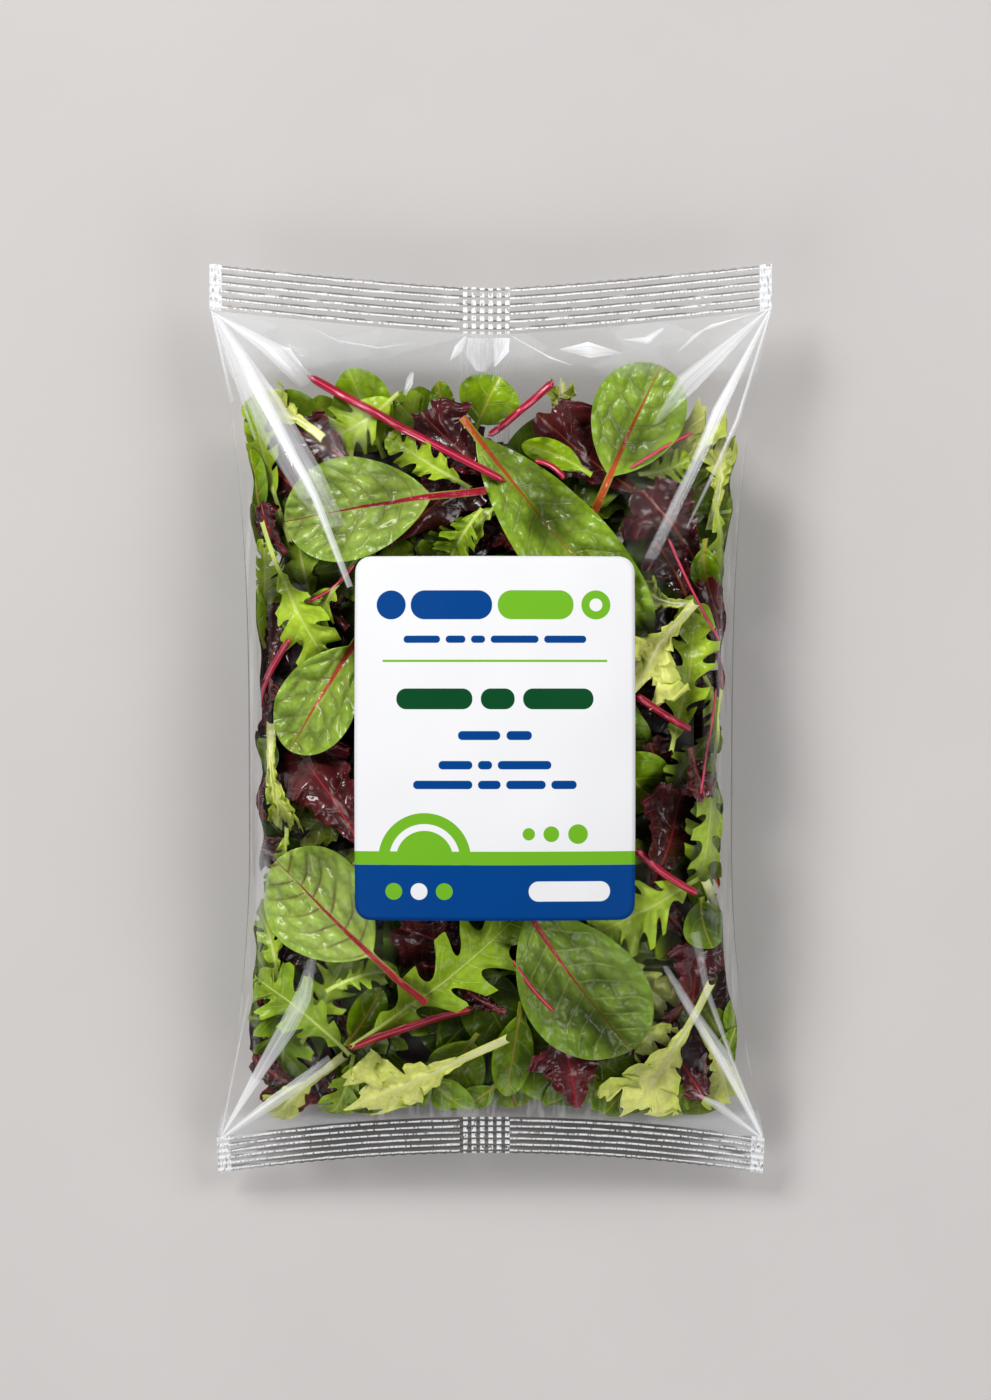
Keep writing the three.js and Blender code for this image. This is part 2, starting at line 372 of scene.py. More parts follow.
def pillow(along, across, side):
    x = across * halfWidth(along)
    y = mix(innerEdge(bottomSeal, across), innerEdge(topSeal, across), along)
    full = swell(along, across)
    deep = filmForm["rise"] if side > 0 else filmForm["drop"]
    folded = (1 if side > 0 else filmForm["backFolds"]) * foldRelief(x, y, along) * np.clip(full * 3, 0, 1)
    slack = slackness(x, y, along) * np.clip(full * 4, 0, 1)
    z = midHeight(along, across) + side * (deep * full + folded) + slack
    return x, y, np.maximum(z, filmForm["least"])


# Shares of the pillow that lie over points of the plan
def unfold(x, y):
    along = np.clip(y / filmForm["length"] + 0.5, 0, 1)
    for turn in range(12):
        across = np.clip(x / halfWidth(along), -1, 1)
        low, high = innerEdge(bottomSeal, across), innerEdge(topSeal, across)
        along = np.clip((y - low) / (high - low), 0, 1)
    return along, across


def filmHeight(x, y, side=1):
    along, across = unfold(np.asarray(x, float), np.asarray(y, float))
    return pillow(along, across, side)[2]


# The place on the bag's front that shows at a pixel of the photograph
def onFront(pixelX, pixelY):
    pixelX, pixelY = np.asarray(pixelX, float), np.asarray(pixelY, float)
    z = np.full_like(pixelX, 40.0)
    for turn in range(6):
        perPixel = (view["height"] - z) * 36 / view["lens"] / view["pictureHeight"]
        x = (pixelX - view["pictureWidth"] / 2) * perPixel + view["x"]
        y = (view["pictureHeight"] / 2 - pixelY) * perPixel + view["y"]
        z = filmHeight(x, y)
    return x, y, z


# Leaves: every kind is a grid bent to the leaf's outline, with its stalk, puckers and frills
plainLeaf = {
    "lobes": 0, "lobesFrom": 0.0, "cut": 0.0, "teeth": 0, "tooth": 0.0, "sweep": 0.0, "fan": 0.0,
    "crown": 0.0, "round": 0.0, "pleat": 0.0, "pleats": 0.0,
}
leafKinds = {
    "chard": {
        **plainLeaf,
        "columns": 40, "rows": 64, "petiole": 0.27, "stalk": 1.5, "fromBase": 0.78, "toTip": 0.55,
        "frill": 0.9, "waves": 2.5, "pucker": 2.7, "cell": 6.6, "spacing": 7.6, "lean": 0.62,
        "crumple": 0.6, "cup": 3.0, "fold": 0.12, "arch": 1.5, "paintedCreaseShade": 0.36,
    },
    "spinach": {
        **plainLeaf,
        "columns": 30, "rows": 50, "petiole": 0.14, "stalk": 1.1, "fromBase": 0.7, "toTip": 0.62,
        "frill": 1.5, "waves": 2.0, "pucker": 1.3, "cell": 7.5, "spacing": 8.5, "lean": 0.7,
        "crumple": 0.8, "cup": 3.2, "fold": 0.22, "arch": 2.0, "paintedCreaseShade": 0.3,
    },
    "mizuna": {
        **plainLeaf,
        "columns": 16, "rows": 92, "petiole": 0.14, "stalk": 0.9, "fromBase": 0.62, "toTip": 0.45,
        "lobes": 4, "lobesFrom": -0.2, "cut": 0.76, "teeth": 8, "tooth": 0.1, "sweep": 0.5, "fan": 0.5,
        "crown": 0.06, "frill": 2.3, "waves": 3.2, "pucker": 0.9, "cell": 5.5, "spacing": 7.0, "lean": 0.8,
        "crumple": 1.0, "cup": 2.2, "fold": 0.3, "arch": 2.5, "pleat": 0.3, "pleats": 6.0, "paintedCreaseShade": 0.2,
    },
    "frisee": {
        "columns": 36, "rows": 72, "petiole": 0.1, "stalk": 1.8, "fromBase": 1.25, "toTip": 0.0,
        "lobes": 4, "lobesFrom": 0.15, "cut": 0.66, "teeth": 9, "tooth": 0.22, "sweep": 0.4, "fan": 0.8,
        "crown": 0.13, "frill": 3.0, "waves": 4.2, "pucker": 0.7, "cell": 6.5, "spacing": 7.5, "lean": 1.2,
        "crumple": 1.0, "cup": 2.0, "fold": 0.1, "arch": 2.5, "round": 0.42, "pleat": 2.0, "pleats": 8.0,
        "paintedCreaseShade": 0.12,
    },
    "oak": {
        "columns": 32, "rows": 54, "petiole": 0.05, "stalk": 1.6, "fromBase": 0.62, "toTip": 0.0,
        "lobes": 3, "lobesFrom": -0.2, "cut": 0.24, "teeth": 13, "tooth": 0.07, "sweep": 0.2, "fan": 0.3,
        "crown": 0.05, "frill": 3.6, "waves": 3.2, "pucker": 1.5, "cell": 10.0, "spacing": 11.0,
        "lean": 0.6, "crumple": 2.5, "cup": -2.5, "fold": 0.05, "arch": 2.0, "round": 0.5, "pleat": 1.5,
        "pleats": 6.5, "paintedCreaseShade": 0.3,
    },
}

# The leaves that show on the front, from the lowest to the topmost. Base and tip are pixels of the
# photograph, and the width is in millimetres. Some entries go on with the leaf's tone, how orange its
# rib is and the petiole's share.
frontLeaves = [
    # under the top edge
    ("spinach", (383, 455), (347, 368), 21), ("spinach", (345, 445), (276, 392), 17),
    ("mizuna", (398, 392), (318, 440), 25),
    ("spinach", (458, 414), (437, 380), 9), ("spinach", (474, 428), (500, 376), 23),
    ("frisee", (560, 436), (562, 382), 13), ("frisee", (712, 528), (722, 440), 20, 0.8, 0.5, 0.1),
    ("frisee", (664, 530), (694, 408), 32, 0.95, 0.5, 0.1), ("oak", (352, 466), (285, 425), 25),
    ("oak", (305, 500), (250, 452), 24), ("frisee", (322, 438), (256, 402), 23, 1.0, 0.5, 0.15),
    ("oak", (500, 478), (420, 410), 31),
    ("oak", (640, 492), (540, 415), 34), ("mizuna", (640, 472), (688, 460), 13),
    ("spinach", (592, 474), (522, 442), 10), ("mizuna", (470, 486), (392, 436), 14),
    ("mizuna", (288, 540), (250, 398), 15, 0.8, 0.5, 0.35), ("spinach", (262, 520), (249, 448), 11),
    ("oak", (533, 552), (482, 512), 23), ("oak", (705, 570), (640, 488), 34),
    ("mizuna", (480, 516), (528, 488), 14), ("mizuna", (500, 500), (424, 552), 15),
    ("mizuna", (482, 508), (448, 560), 15), ("oak", (284, 552), (260, 503), 12),
    ("mizuna", (715, 500), (722, 600), 13),
    # the left side
    ("mizuna", (262, 612), (262, 545), 12), ("spinach", (262, 648), (251, 588), 10),
    ("oak", (268, 672), (288, 600), 15), ("oak", (345, 628), (308, 598), 13),
    ("mizuna", (356, 556), (296, 634), 21, 0.9, 0.5, 0.42), ("oak", (262, 726), (266, 678), 12),
    ("oak", (362, 850), (290, 745), 36), ("spinach", (268, 782), (256, 738), 10),
    ("oak", (262, 820), (258, 778), 10), ("frisee", (270, 724), (284, 826), 14),
    ("oak", (300, 885), (252, 845), 18), ("mizuna", (286, 828), (262, 892), 9),
    ("mizuna", (262, 522), (330, 668), 21, 0.9, 0.5, 0.34),
    # the right side
    ("spinach", (706, 538), (718, 596), 11), ("oak", (724, 690), (708, 578), 15),
    ("oak", (690, 600), (655, 540), 20), ("oak", (690, 785), (650, 742), 18),
    ("spinach", (612, 748), (662, 806), 26), ("mizuna", (706, 676), (718, 748), 12),
    ("mizuna", (720, 732), (676, 788), 15), ("spinach", (716, 782), (722, 816), 8),
    ("oak", (650, 895), (685, 786), 29), ("mizuna", (704, 915), (712, 806), 17, 1.0, 0.5, 0.14),
    ("mizuna", (672, 750), (697, 612), 20, 1.0, 0.5, 0.1), ("frisee", (692, 604), (642, 590), 15),
    ("mizuna", (722, 690), (700, 900), 14, 0.9, 0.5, 0.3),
    # the lower part
    ("spinach", (478, 1036), (450, 1102), 22), ("spinach", (578, 1052), (640, 1098), 24),
    ("spinach", (500, 1085), (448, 1118), 12), ("spinach", (388, 1072), (352, 1117), 15),
    ("spinach", (420, 1080), (472, 1118), 14), ("spinach", (600, 1080), (545, 1116), 14),
    ("spinach", (655, 1094), (718, 1128), 13), ("spinach", (728, 1040), (739, 1000), 10),
    ("mizuna", (558, 1072), (628, 1122), 17), ("spinach", (648, 1078), (600, 1124), 17),
    ("mizuna", (700, 1080), (652, 1130), 16), ("spinach", (430, 1066), (400, 1114), 15),
    ("spinach", (735, 1072), (738, 1028), 10), ("oak", (330, 985), (272, 925), 25),
    ("oak", (490, 968), (395, 928), 29), ("oak", (447, 1004), (414, 968), 14),
    ("oak", (545, 1012), (505, 920), 17), ("oak", (348, 1042), (315, 992), 13),
    ("oak", (300, 1092), (252, 1058), 14), ("oak", (505, 1014), (462, 988), 13),
    ("mizuna", (296, 1002), (252, 950), 17), ("mizuna", (276, 985), (254, 905), 11),
    ("frisee", (342, 1060), (270, 1122), 20), ("mizuna", (352, 1058), (328, 1124), 15),
    ("mizuna", (300, 1045), (344, 960), 20), ("mizuna", (348, 1058), (258, 982), 25),
    ("spinach", (345, 1048), (380, 992), 13), ("mizuna", (326, 992), (392, 976), 11),
    ("spinach", (522, 1004), (506, 1098), 15), ("frisee", (602, 922), (674, 1014), 28, 0.9, 0.5, 0.1),
    ("spinach", (684, 915), (660, 962), 11), ("oak", (690, 945), (655, 905), 14),
    ("mizuna", (700, 880), (600, 934), 30, 0.95, 0.5, 0.14),
    ("frisee", (706, 882), (730, 962), 22, 0.7, 0.5, 0.1),
    ("frisee", (700, 1026), (730, 1104), 22, 0.8, 0.5, 0.1), ("oak", (680, 1062), (704, 1100), 12),
    ("oak", (686, 1004), (634, 1062), 22, 0.9, 0.3, 0.1),
    ("frisee", (606, 996), (664, 1050), 22, 0.8, 0.5, 0.1),
    ("oak", (692, 1016), (706, 936), 27, 1.5, 0.1, 0.08),
    ("oak", (577, 1117), (562, 1040), 31, 1.6, 0.0, 0.08),
    ("frisee", (506, 1040), (360, 1104), 38, 1.3, 0.5, 0.2), ("mizuna", (352, 1046), (524, 912), 30),
    ("frisee", (711, 986), (634, 1116), 36, 1.35, 0.5, 0.2),
    # on top of them all, mostly large smooth leaves
    ("chard", (594, 513), (662, 364), 34, 0.75, 0.9, 0.25),
    ("chard", (462, 416), (650, 646), 33, 0.55, 1.0, 0.08),
    ("chard", (486, 490), (284, 521), 38, 0.9, 0.0, 0.27),
    ("chard", (376, 608), (288, 751), 29, 0.8, 0.6, 0.27),
    ("chard", (426, 1005), (275, 861), 39, 1.5, 0.1, 0.35),
    ("chard", (497, 858), (632, 1053), 44, 0.25, 0.2, 0.26),
    ("frisee", (695, 604), (640, 684), 36, 1.35, 0.5, 0.1),
    ("spinach", (703, 898), (714, 950), 17, 0.3, 0.5, 0.1),
    ("oak", (692, 748), (706, 800), 15, 0.6, 0.5, 0.05),
]

# Stalks that lie loose on top: both ends, and the diameter in millimetres
frontStems = [
    ((306, 374), (507, 481), 3.3), ((554, 380), (488, 434), 2.9), ((694, 431), (630, 468), 1.3),
    ((565, 478), (535, 459), 2.2), ((289, 638), (253, 709), 2.8), ((636, 695), (694, 731), 2.9),
    ((636, 850), (699, 895), 2.9), ((347, 1050), (472, 1011), 3.2), ((513, 961), (555, 1014), 1.5),
    ((306, 602), (354, 564), 1.3), ((669, 538), (722, 642), 1.2), ((700, 800), (717, 688), 1.1),
]

pileForm = {
    "cell": 1.5,  # step of the height map that the leaves are dropped on
    "lift": 0.7,
    "frontFillers": 150,
    "backFillers": 120,
    "topLimit": 136.0,  # the leaves stop short of the top seal
    "topDrop": 20.0,  # and further short of it at the corners
    "bottomLimit": -147.0,
    "bottomGap": 0.6,
    "bottomRise": 8.0,
    "endFold": 6.0,  # how far in from the ends leaf edges begin to fold
    "cornerAt": 92.0,
    "bottomWander": 2.0,  # how unevenly the leaves stop at the bottom and at the sides
    "sideGap": 2.4,
    "sideFold": 3.4,
    "sideWander": 1.6,
    "filmGap": 1.1,
    "shadeFrom": 5.0,  # depth at which painted shade begins to darken the leaves
    "shadeReach": 12.0,
    "shadeLeast": 0.12,
}
mapX = np.arange(-108, 108.1, pileForm["cell"])
mapY = np.arange(-156, 156.1, pileForm["cell"])


def sample(heights, x, y):
    column = np.clip((x - mapX[0]) / pileForm["cell"], 0, len(mapX) - 1.001)
    row = np.clip((y - mapY[0]) / pileForm["cell"], 0, len(mapY) - 1.001)
    i, j = column.astype(int), row.astype(int)
    a, b = column - i, row - j
    low = heights[j, i] * (1 - a) + heights[j, i + 1] * a
    high = heights[j + 1, i] * (1 - a) + heights[j + 1, i + 1] * a
    return low * (1 - b) + high * b


# The smooth sheet that just covers a heap: spread by a few cells, then evened out
def covered(heights, spread, even):
    sheet = heights
    for turn in range(spread):
        for axis in (0, 1):
            sheet = np.maximum(sheet, np.maximum(np.roll(sheet, 1, axis), np.roll(sheet, -1, axis)))
    for turn in range(even):
        for axis in (0, 1):
            sheet = (np.roll(sheet, 1, axis) + sheet * 2 + np.roll(sheet, -1, axis)) / 4
    return sheet


# Outline of a lobed leaf along its blade: 1 at the ends of its lobes and 0 deep in the round bays
# between them, and how far along each place is from the middle of its lobe
def lobesAlong(blade, side, count, seed):
    outline, offset = np.ones_like(blade), np.zeros_like(blade)
    if count == 0:
        return outline, offset
    step = 1 / (count + 0.85)
    for hand in (-1, 1):
        bays = []
        for number in range(count):
            luck = math.sin(seed * 7.3 + number * 5.1 + hand * 2.7)
            middle = (number + 0.75 + 0.17 * luck + 0.16 * hand) * step
            reach = (0.33 + 0.07 * math.sin(seed * 3.9 + number * 8.7 + hand)) * step
            away = (blade - middle) / reach
            bay = 1 - (0.86 + 0.14 * luck) * np.sqrt(np.clip(1 - away**2, 0, 1))
            outline = np.where(side == hand, np.minimum(outline, bay), outline)
            bays.append(middle)
        ends = [-bays[0] / 2] + bays + [bays[-1] + step]
        middles = [(low + high) / 2 for low, high in zip(ends, ends[1:])]
        gaps = np.array([blade - middle for middle in middles])
        nearest = np.take_along_axis(gaps, np.abs(gaps).argmin(axis=0)[None], axis=0)[0]
        offset = np.where(side == hand, nearest, offset)
    return outline, offset


# What all kinds share: where the blade begins, and how far single leaves differ from each other
leafForm = {
    "bladeStart": 6.0,  # the higher, the shorter the way from stalk to full blade
    "stalkTaper": 0.35,
    "frillPower": 2.2,  # a frill grows towards the edge
    "veinOffset": 0.22,  # side veins of the two halves don't quite meet
    "veinWander": 0.14,
    "cup": (0.3, 1.2),  # from the flattest to the most bent leaf
    "fold": (0.2, 1.5),
    "arch": (0.3, 1.3),
    "tilt": 0.12,
    "twist": 0.25,
    "pleatWander": 0.8,
}


# Shape of one leaf, lying along +y from the end of its stalk, in millimetres. It gives across, along
# and height, the place between side veins, and the painted shade of the creases between the puckers.
def shapeLeaf(kind, share, s, t, length, width, seed):
    form, luck = leafForm, random.Random(round(seed * 1000))
    blade = np.clip((t - share) / (1 - share), 0, 1)
    peakAt = kind["fromBase"] / (kind["fromBase"] + kind["toTip"])
    peak = peakAt ** kind["fromBase"] * (1 - peakAt) ** kind["toTip"]
    side, edge = np.where(s < 0, -1, 1), np.abs(s)
    lobe, offset = lobesAlong(blade, side, kind["lobes"], seed)
    cut = kind["cut"] * (1 - lobe) * smooth((blade - kind["lobesFrom"]) * 5)
    outline = blade ** kind["fromBase"] * (1 - blade) ** kind["toTip"] / peak * (1 - cut)
    jag = np.abs(((kind["teeth"] * blade + 0.3 * np.sin(blade * 31 + seed + side)) % 1) * 2 - 1)
    outline = outline * (1 - kind["tooth"] * jag * smooth(lobe * 3 - 1.6))
    stalkHalf = kind["stalk"] * (1 - form["stalkTaper"] * t)
    half = np.maximum(0.5 * width * outline, stalkHalf * smooth((1 - t) * 30))
    across = s * half
    bladeLength = (1 - share) * length
    onBlade = smooth(blade * form["bladeStart"])
    y = t * length + kind["sweep"] * edge**1.5 * half * onBlade
    y = y + kind["fan"] * offset * lobe * edge**2 * bladeLength
    crown = np.sin(s * 9 + seed * 4) + 0.5 * np.sin(s * 23 + seed)  # uneven tip
    y = y + kind["crown"] * width * crown * blade**8
    y = y - kind["round"] * width * s * s * blade**3
    lean = kind["lean"] * (0.5 + 0.9 * np.abs(across) / (0.5 * width))  # side veins bend towards the tip
    vein = (y - share * length - lean * np.abs(across)) / kind["spacing"] + form["veinOffset"] * side
    vein = vein + form["veinWander"] * ripple(across, y, 19, seed)
    wave = kind["waves"] * 2 * np.pi * blade
    frill = np.sin(wave + seed * 5 + side * 0.9) + 0.5 * np.sin(wave * 2.3 + seed * 3 + side * 1.7)
    reach = np.clip(half / (0.2 * width), 0, 1)
    z = kind["frill"] * edge ** form["frillPower"] * frill * onBlade * reach
    z = z + kind["cup"] * luck.uniform(*form["cup"]) * (across / (0.5 * width)) ** 2 * onBlade
    z = z + kind["fold"] * luck.uniform(*form["fold"]) * np.abs(across) * onBlade
    tilt, twist = luck.uniform(-form["tilt"], form["tilt"]), luck.uniform(-form["twist"], form["twist"])
    z = z + tilt * across + twist * across * (t - 0.5)
    z = z + kind["arch"] * luck.uniform(*form["arch"]) * np.sin(np.pi * t)
    clear = smooth((np.abs(across) - 0.4) / 2.0) * onBlade * (1 - 0.7 * edge**5)
    dome = puckers(np.abs(across) / kind["cell"] + side * 17.3, vein, seed)
    z = z + kind["pucker"] * dome * clear
    z = z + kind["crumple"] * ripple(across, y, 17, seed * 1.3) * onBlade * (0.3 + 0.7 * edge)
    pleats = np.sin(s * kind["pleats"] + seed + form["pleatWander"] * np.sin(blade * 5 + seed))
    z = z + kind["pleat"] * pleats * smooth(blade * 2) * (0.5 + 0.7 * blade**3)
    z = z + 0.8 * (1 - onBlade) * np.sqrt(np.clip(1 - s * s, 0, 1)) * kind["stalk"]
    return across, y, z - z.min(), vein, 1 - kind["paintedCreaseShade"] * (1 - dome) * clear


def shapeStem(s, t, length, width):
    radius = width / 2 * np.clip((1 - np.abs(2 * t - 1) ** 24), 0, 1) * (1.06 - 0.12 * t)
    across = radius * np.sin(np.pi * s)
    return across, t * length, radius * (1 + np.cos(np.pi * s)), np.full_like(s, 0.5), np.ones_like(s)


# Lays one leaf on the heap and keeps its points for later
def layLeaf(heap, name, base, tip, width, seed, bend=0.0, detail=1.0, tone=0.5, warm=0.0, petiole=None):
    run = np.array(tip, float) - np.array(base, float)
    length = math.hypot(run[0], run[1])
    kind = leafKinds.get(name, {"columns": 10, "rows": 30, "petiole": 0, "lobes": 1})
    share = kind["petiole"] if petiole is None else petiole
    columns, rows = max(6, round(kind["columns"] * detail)), max(12, round(kind["rows"] * detail))
    gridX, gridY = np.meshgrid(np.linspace(-1, 1, columns + 1), np.linspace(-1, 1, rows + 1))
    s, t = gridX.ravel(), (gridY.ravel() + 1) / 2
    if kind["lobes"] == 0:
        t = mix(t, 1 - (1 - t) ** 1.7, 0.8)  # shorter steps to the round tip
    if name == "stem":
        across, along, rise, vein, paintedCreaseShade = shapeStem(s, t, length, width)
        sheet, lift = covered(heap["heights"], 1, 12), 0.1
    else:
        across, along, rise, vein, paintedCreaseShade = shapeLeaf(kind, share, s, t, length, width, seed)
        sheet, lift = covered(heap["heights"], 2, 8), pileForm["lift"]
    aside = across + bend * np.sin(np.pi * t)
    ahead = run / length
    x = base[0] + ahead[0] * along + ahead[1] * aside
    y = base[1] + ahead[1] * along - ahead[0] * aside
    x, y = keepInside(x, y)
    z = sample(sheet, x, y) + lift + rise
    column = np.clip(np.round((x - mapX[0]) / pileForm["cell"]).astype(int), 0, len(mapX) - 1)
    row = np.clip(np.round((y - mapY[0]) / pileForm["cell"]).astype(int), 0, len(mapY) - 1)
    np.maximum.at(heap["heights"], (row, column), z)
    spot = np.column_stack((across, along - share * length, s))
    # The shade kept here is painted shade, from the depth in the heap and from the pucker creases
    heap["leaves"].append({
        "name": name, "columns": columns, "rows": rows, "x": x, "y": y, "z": z, "spot": spot, "vein": vein,
        "tone": tone, "shade": heap["shade"] * paintedCreaseShade, "warm": warm,
    })


# Keeps a leaf's points within the film, softly, so that edges fold in where they meet it
def keepInside(x, y):
    form = pileForm
    fold = form["endFold"]
    corner = np.abs(x / form["cornerAt"]) ** 6
    top = form["topLimit"] - form["topDrop"] * corner
    bottom = innerEdge(bottomSeal, np.clip(x / filmForm["bottomHalf"], -1, 1)) + form["bottomGap"]
    bottom = bottom + form["bottomRise"] * corner + form["bottomWander"] * (1 + ripple(x, 0 * x, 21, 9.0))
    y = np.where(y > top - fold, top - fold + fold * np.tanh((y - top + fold) / fold), y)
    y = np.where(y < bottom + fold, bottom + fold - fold * np.tanh((bottom + fold - y) / fold), y)
    along, across = unfold(x, y)
    wander = form["sideWander"] * (1 + ripple(60 * np.sign(x), y, 17, 4.0))
    limit = halfWidth(along) - form["sideGap"] - wander
    fold = form["sideFold"]
    over = np.abs(x) - (limit - fold)
    x = np.where(over > 0, np.sign(x) * (limit - fold + fold * np.tanh(over / fold)), x)
    return x, y


# The leaves that fill the heap under the front ones: the order of kinds, their length and width, and
# the share of the grid that they need
fillers = {
    "names": ["oak", "mizuna", "spinach", "mizuna", "chard", "frisee", "mizuna", "oak"],
    "oak": (52, 34), "mizuna": (58, 25), "spinach": (46, 24), "frisee": (50, 28), "chard": (52, 30),
    "detail": 0.5, "bottomClear": 24, "topClear": 40, "sideClear": 14,
}


def fillHeap(heap, count, dice):
    low = pileForm["bottomLimit"] + fillers["bottomClear"]
    high = pileForm["topLimit"] - fillers["topClear"]
    for number in range(count):
        name = fillers["names"][number % len(fillers["names"])]
        length, width = fillers[name]
        grow = dice.uniform(0.8, 1.15)
        turn = dice.uniform(0, 2 * math.pi)
        across = 2 * ((number * 0.618034 + dice.uniform(0, 0.1)) % 1) - 1
        y = mix(low, high, (number * 0.754878) % 1)
        along = float(unfold(np.array([0.0]), np.array([y]))[0][0])
        x = across * (float(halfWidth(along)) - fillers["sideClear"])
        run = (math.cos(turn) * length * grow / 2, math.sin(turn) * length * grow / 2)
        base, tip = (x - run[0], y - run[1]), (x + run[0], y + run[1])
        seed, bend = dice.uniform(0, 60), dice.uniform(-4, 4)
        tone, warm = dice.random(), dice.random()
        layLeaf(heap, name, base, tip, width * grow, seed, bend, fillers["detail"], tone, warm)


# Fits a finished heap under the film. It hangs from the film that it presses on and keeps its own
# relief near the top, and what lies deep gets darker with painted shade.
def pressHeap(heap, side):
    top = np.maximum(covered(heap["heights"], 2, 8), 0.5)
    for leaf in heap["leaves"]:
        x, y = leaf["x"], leaf["y"]
        along, across = unfold(x, y)
        film = pillow(along, across, side)[2]
        middle = midHeight(along, across)
        gap = np.minimum(pileForm["filmGap"], 0.25 * np.abs(film - middle))
        room = np.maximum(np.abs(film - middle) - gap, 0.05) * 0.97
        deep = np.maximum(sample(top, x, y) - leaf["z"], 0)
        leaf["z"] = film - side * (gap + room * (1 - np.exp(-deep / room)))
        least = pileForm["shadeLeast"]
        light = np.exp(-np.maximum(deep - pileForm["shadeFrom"], 0) / pileForm["shadeReach"])
        leaf["shade"] = leaf["shade"] * (least + (1 - least) * light)


dice = random.Random(29)
# Painted shade: the front fillers start at 0.8, the front leaves laid over them at 1 and the back at 0.9
front = {"heights": np.zeros((len(mapY), len(mapX))), "leaves": [], "shade": 0.8}
fillHeap(front, pileForm["frontFillers"], dice)
front["shade"] = 1.0
for number, entry in enumerate(frontLeaves):
    name, basePixel, tipPixel, width = entry[:4]
    tone, warm, petiole = entry[4:] if len(entry) > 4 else (mix(0.3, 1, dice.random()), dice.random(), None)
    base = [float(part) for part in onFront(*basePixel)[:2]]
    tip = [float(part) for part in onFront(*tipPixel)[:2]]
    bend = dice.uniform(-2.5, 2.5)
    layLeaf(front, name, base, tip, width, 3.0 + number * 1.37, bend, 1.0, tone, warm, petiole)
for number, (start, end, thick) in enumerate(frontStems):
    base = [float(part) for part in onFront(*start)[:2]]
    tip = [float(part) for part in onFront(*end)[:2]]
    layLeaf(front, "stem", base, tip, thick, number * 2.1, dice.uniform(-1.5, 1.5))
print("heap height:", round(float(front["heights"].max())), "mm before pressing")
pressHeap(front, 1)
back = {"heights": np.zeros((len(mapY), len(mapX))), "leaves": [], "shade": 0.9}
fillHeap(back, pileForm["backFillers"], dice)
pressHeap(back, -1)
print("leaves laid:", len(front["leaves"]) + len(back["leaves"]))


# Shader group: ribs, veins and puckers of a leaf, from each point's place on it
def veinGroup():
    inputs = {"Spot": (0.0, 0.0, 0.0), "Turn": 0.0, "Rib": 0.8, "Taper": -0.02, "Vein": 0.1, "Cell": 4.0}
    group, entry, leave = newGroup("leafVeins", inputs, ["Rib", "Veins", "Cells", "Blotch", "Margin"])
    parts = split(group, entry["Spot"])
    away = sums(group, "ABSOLUTE", parts[0])
    ribHalf = larger(group, sums(group, "MULTIPLY_ADD", parts[1], entry["Taper"], entry["Rib"]), 0.2)
    inner = times(group, ribHalf, 0.55)
    rib = inverse(group, ramp(group, away, inner, ribHalf))
    shifted = sums(group, "FRACT", sums(group, "ADD", entry["Turn"], 0.5))
    toVein = apart(group, shifted, 0.5)
    thin = times(group, entry["Vein"], 0.3)
    veins = inverse(group, ramp(group, toVein, thin, entry["Vein"]))
    margin = ramp(group, sums(group, "ABSOLUTE", parts[2]), 0.6, 1.0)
    veins = times(group, veins, inverse(group, margin))
    scale = sums(group, "DIVIDE", 1, entry["Cell"])
    cells = put(
        group, "ShaderNodeTexVoronoi", {"Vector": entry["Spot"], "Scale": scale},
        voronoi_dimensions="2D", feature="DISTANCE_TO_EDGE",
    )
    cells = ramp(group, cells.outputs[0], 0.0, 0.35)
    blotch = ramp(group, noise(group, entry["Spot"], 0.09, 3.0), 0.3, 0.7)
    marks = {"Rib": rib, "Veins": veins, "Cells": cells, "Blotch": blotch, "Margin": margin}
    for title, value in marks.items():
        group.links.new(value, leave.inputs[title])
    return group


leafVeins = veinGroup()

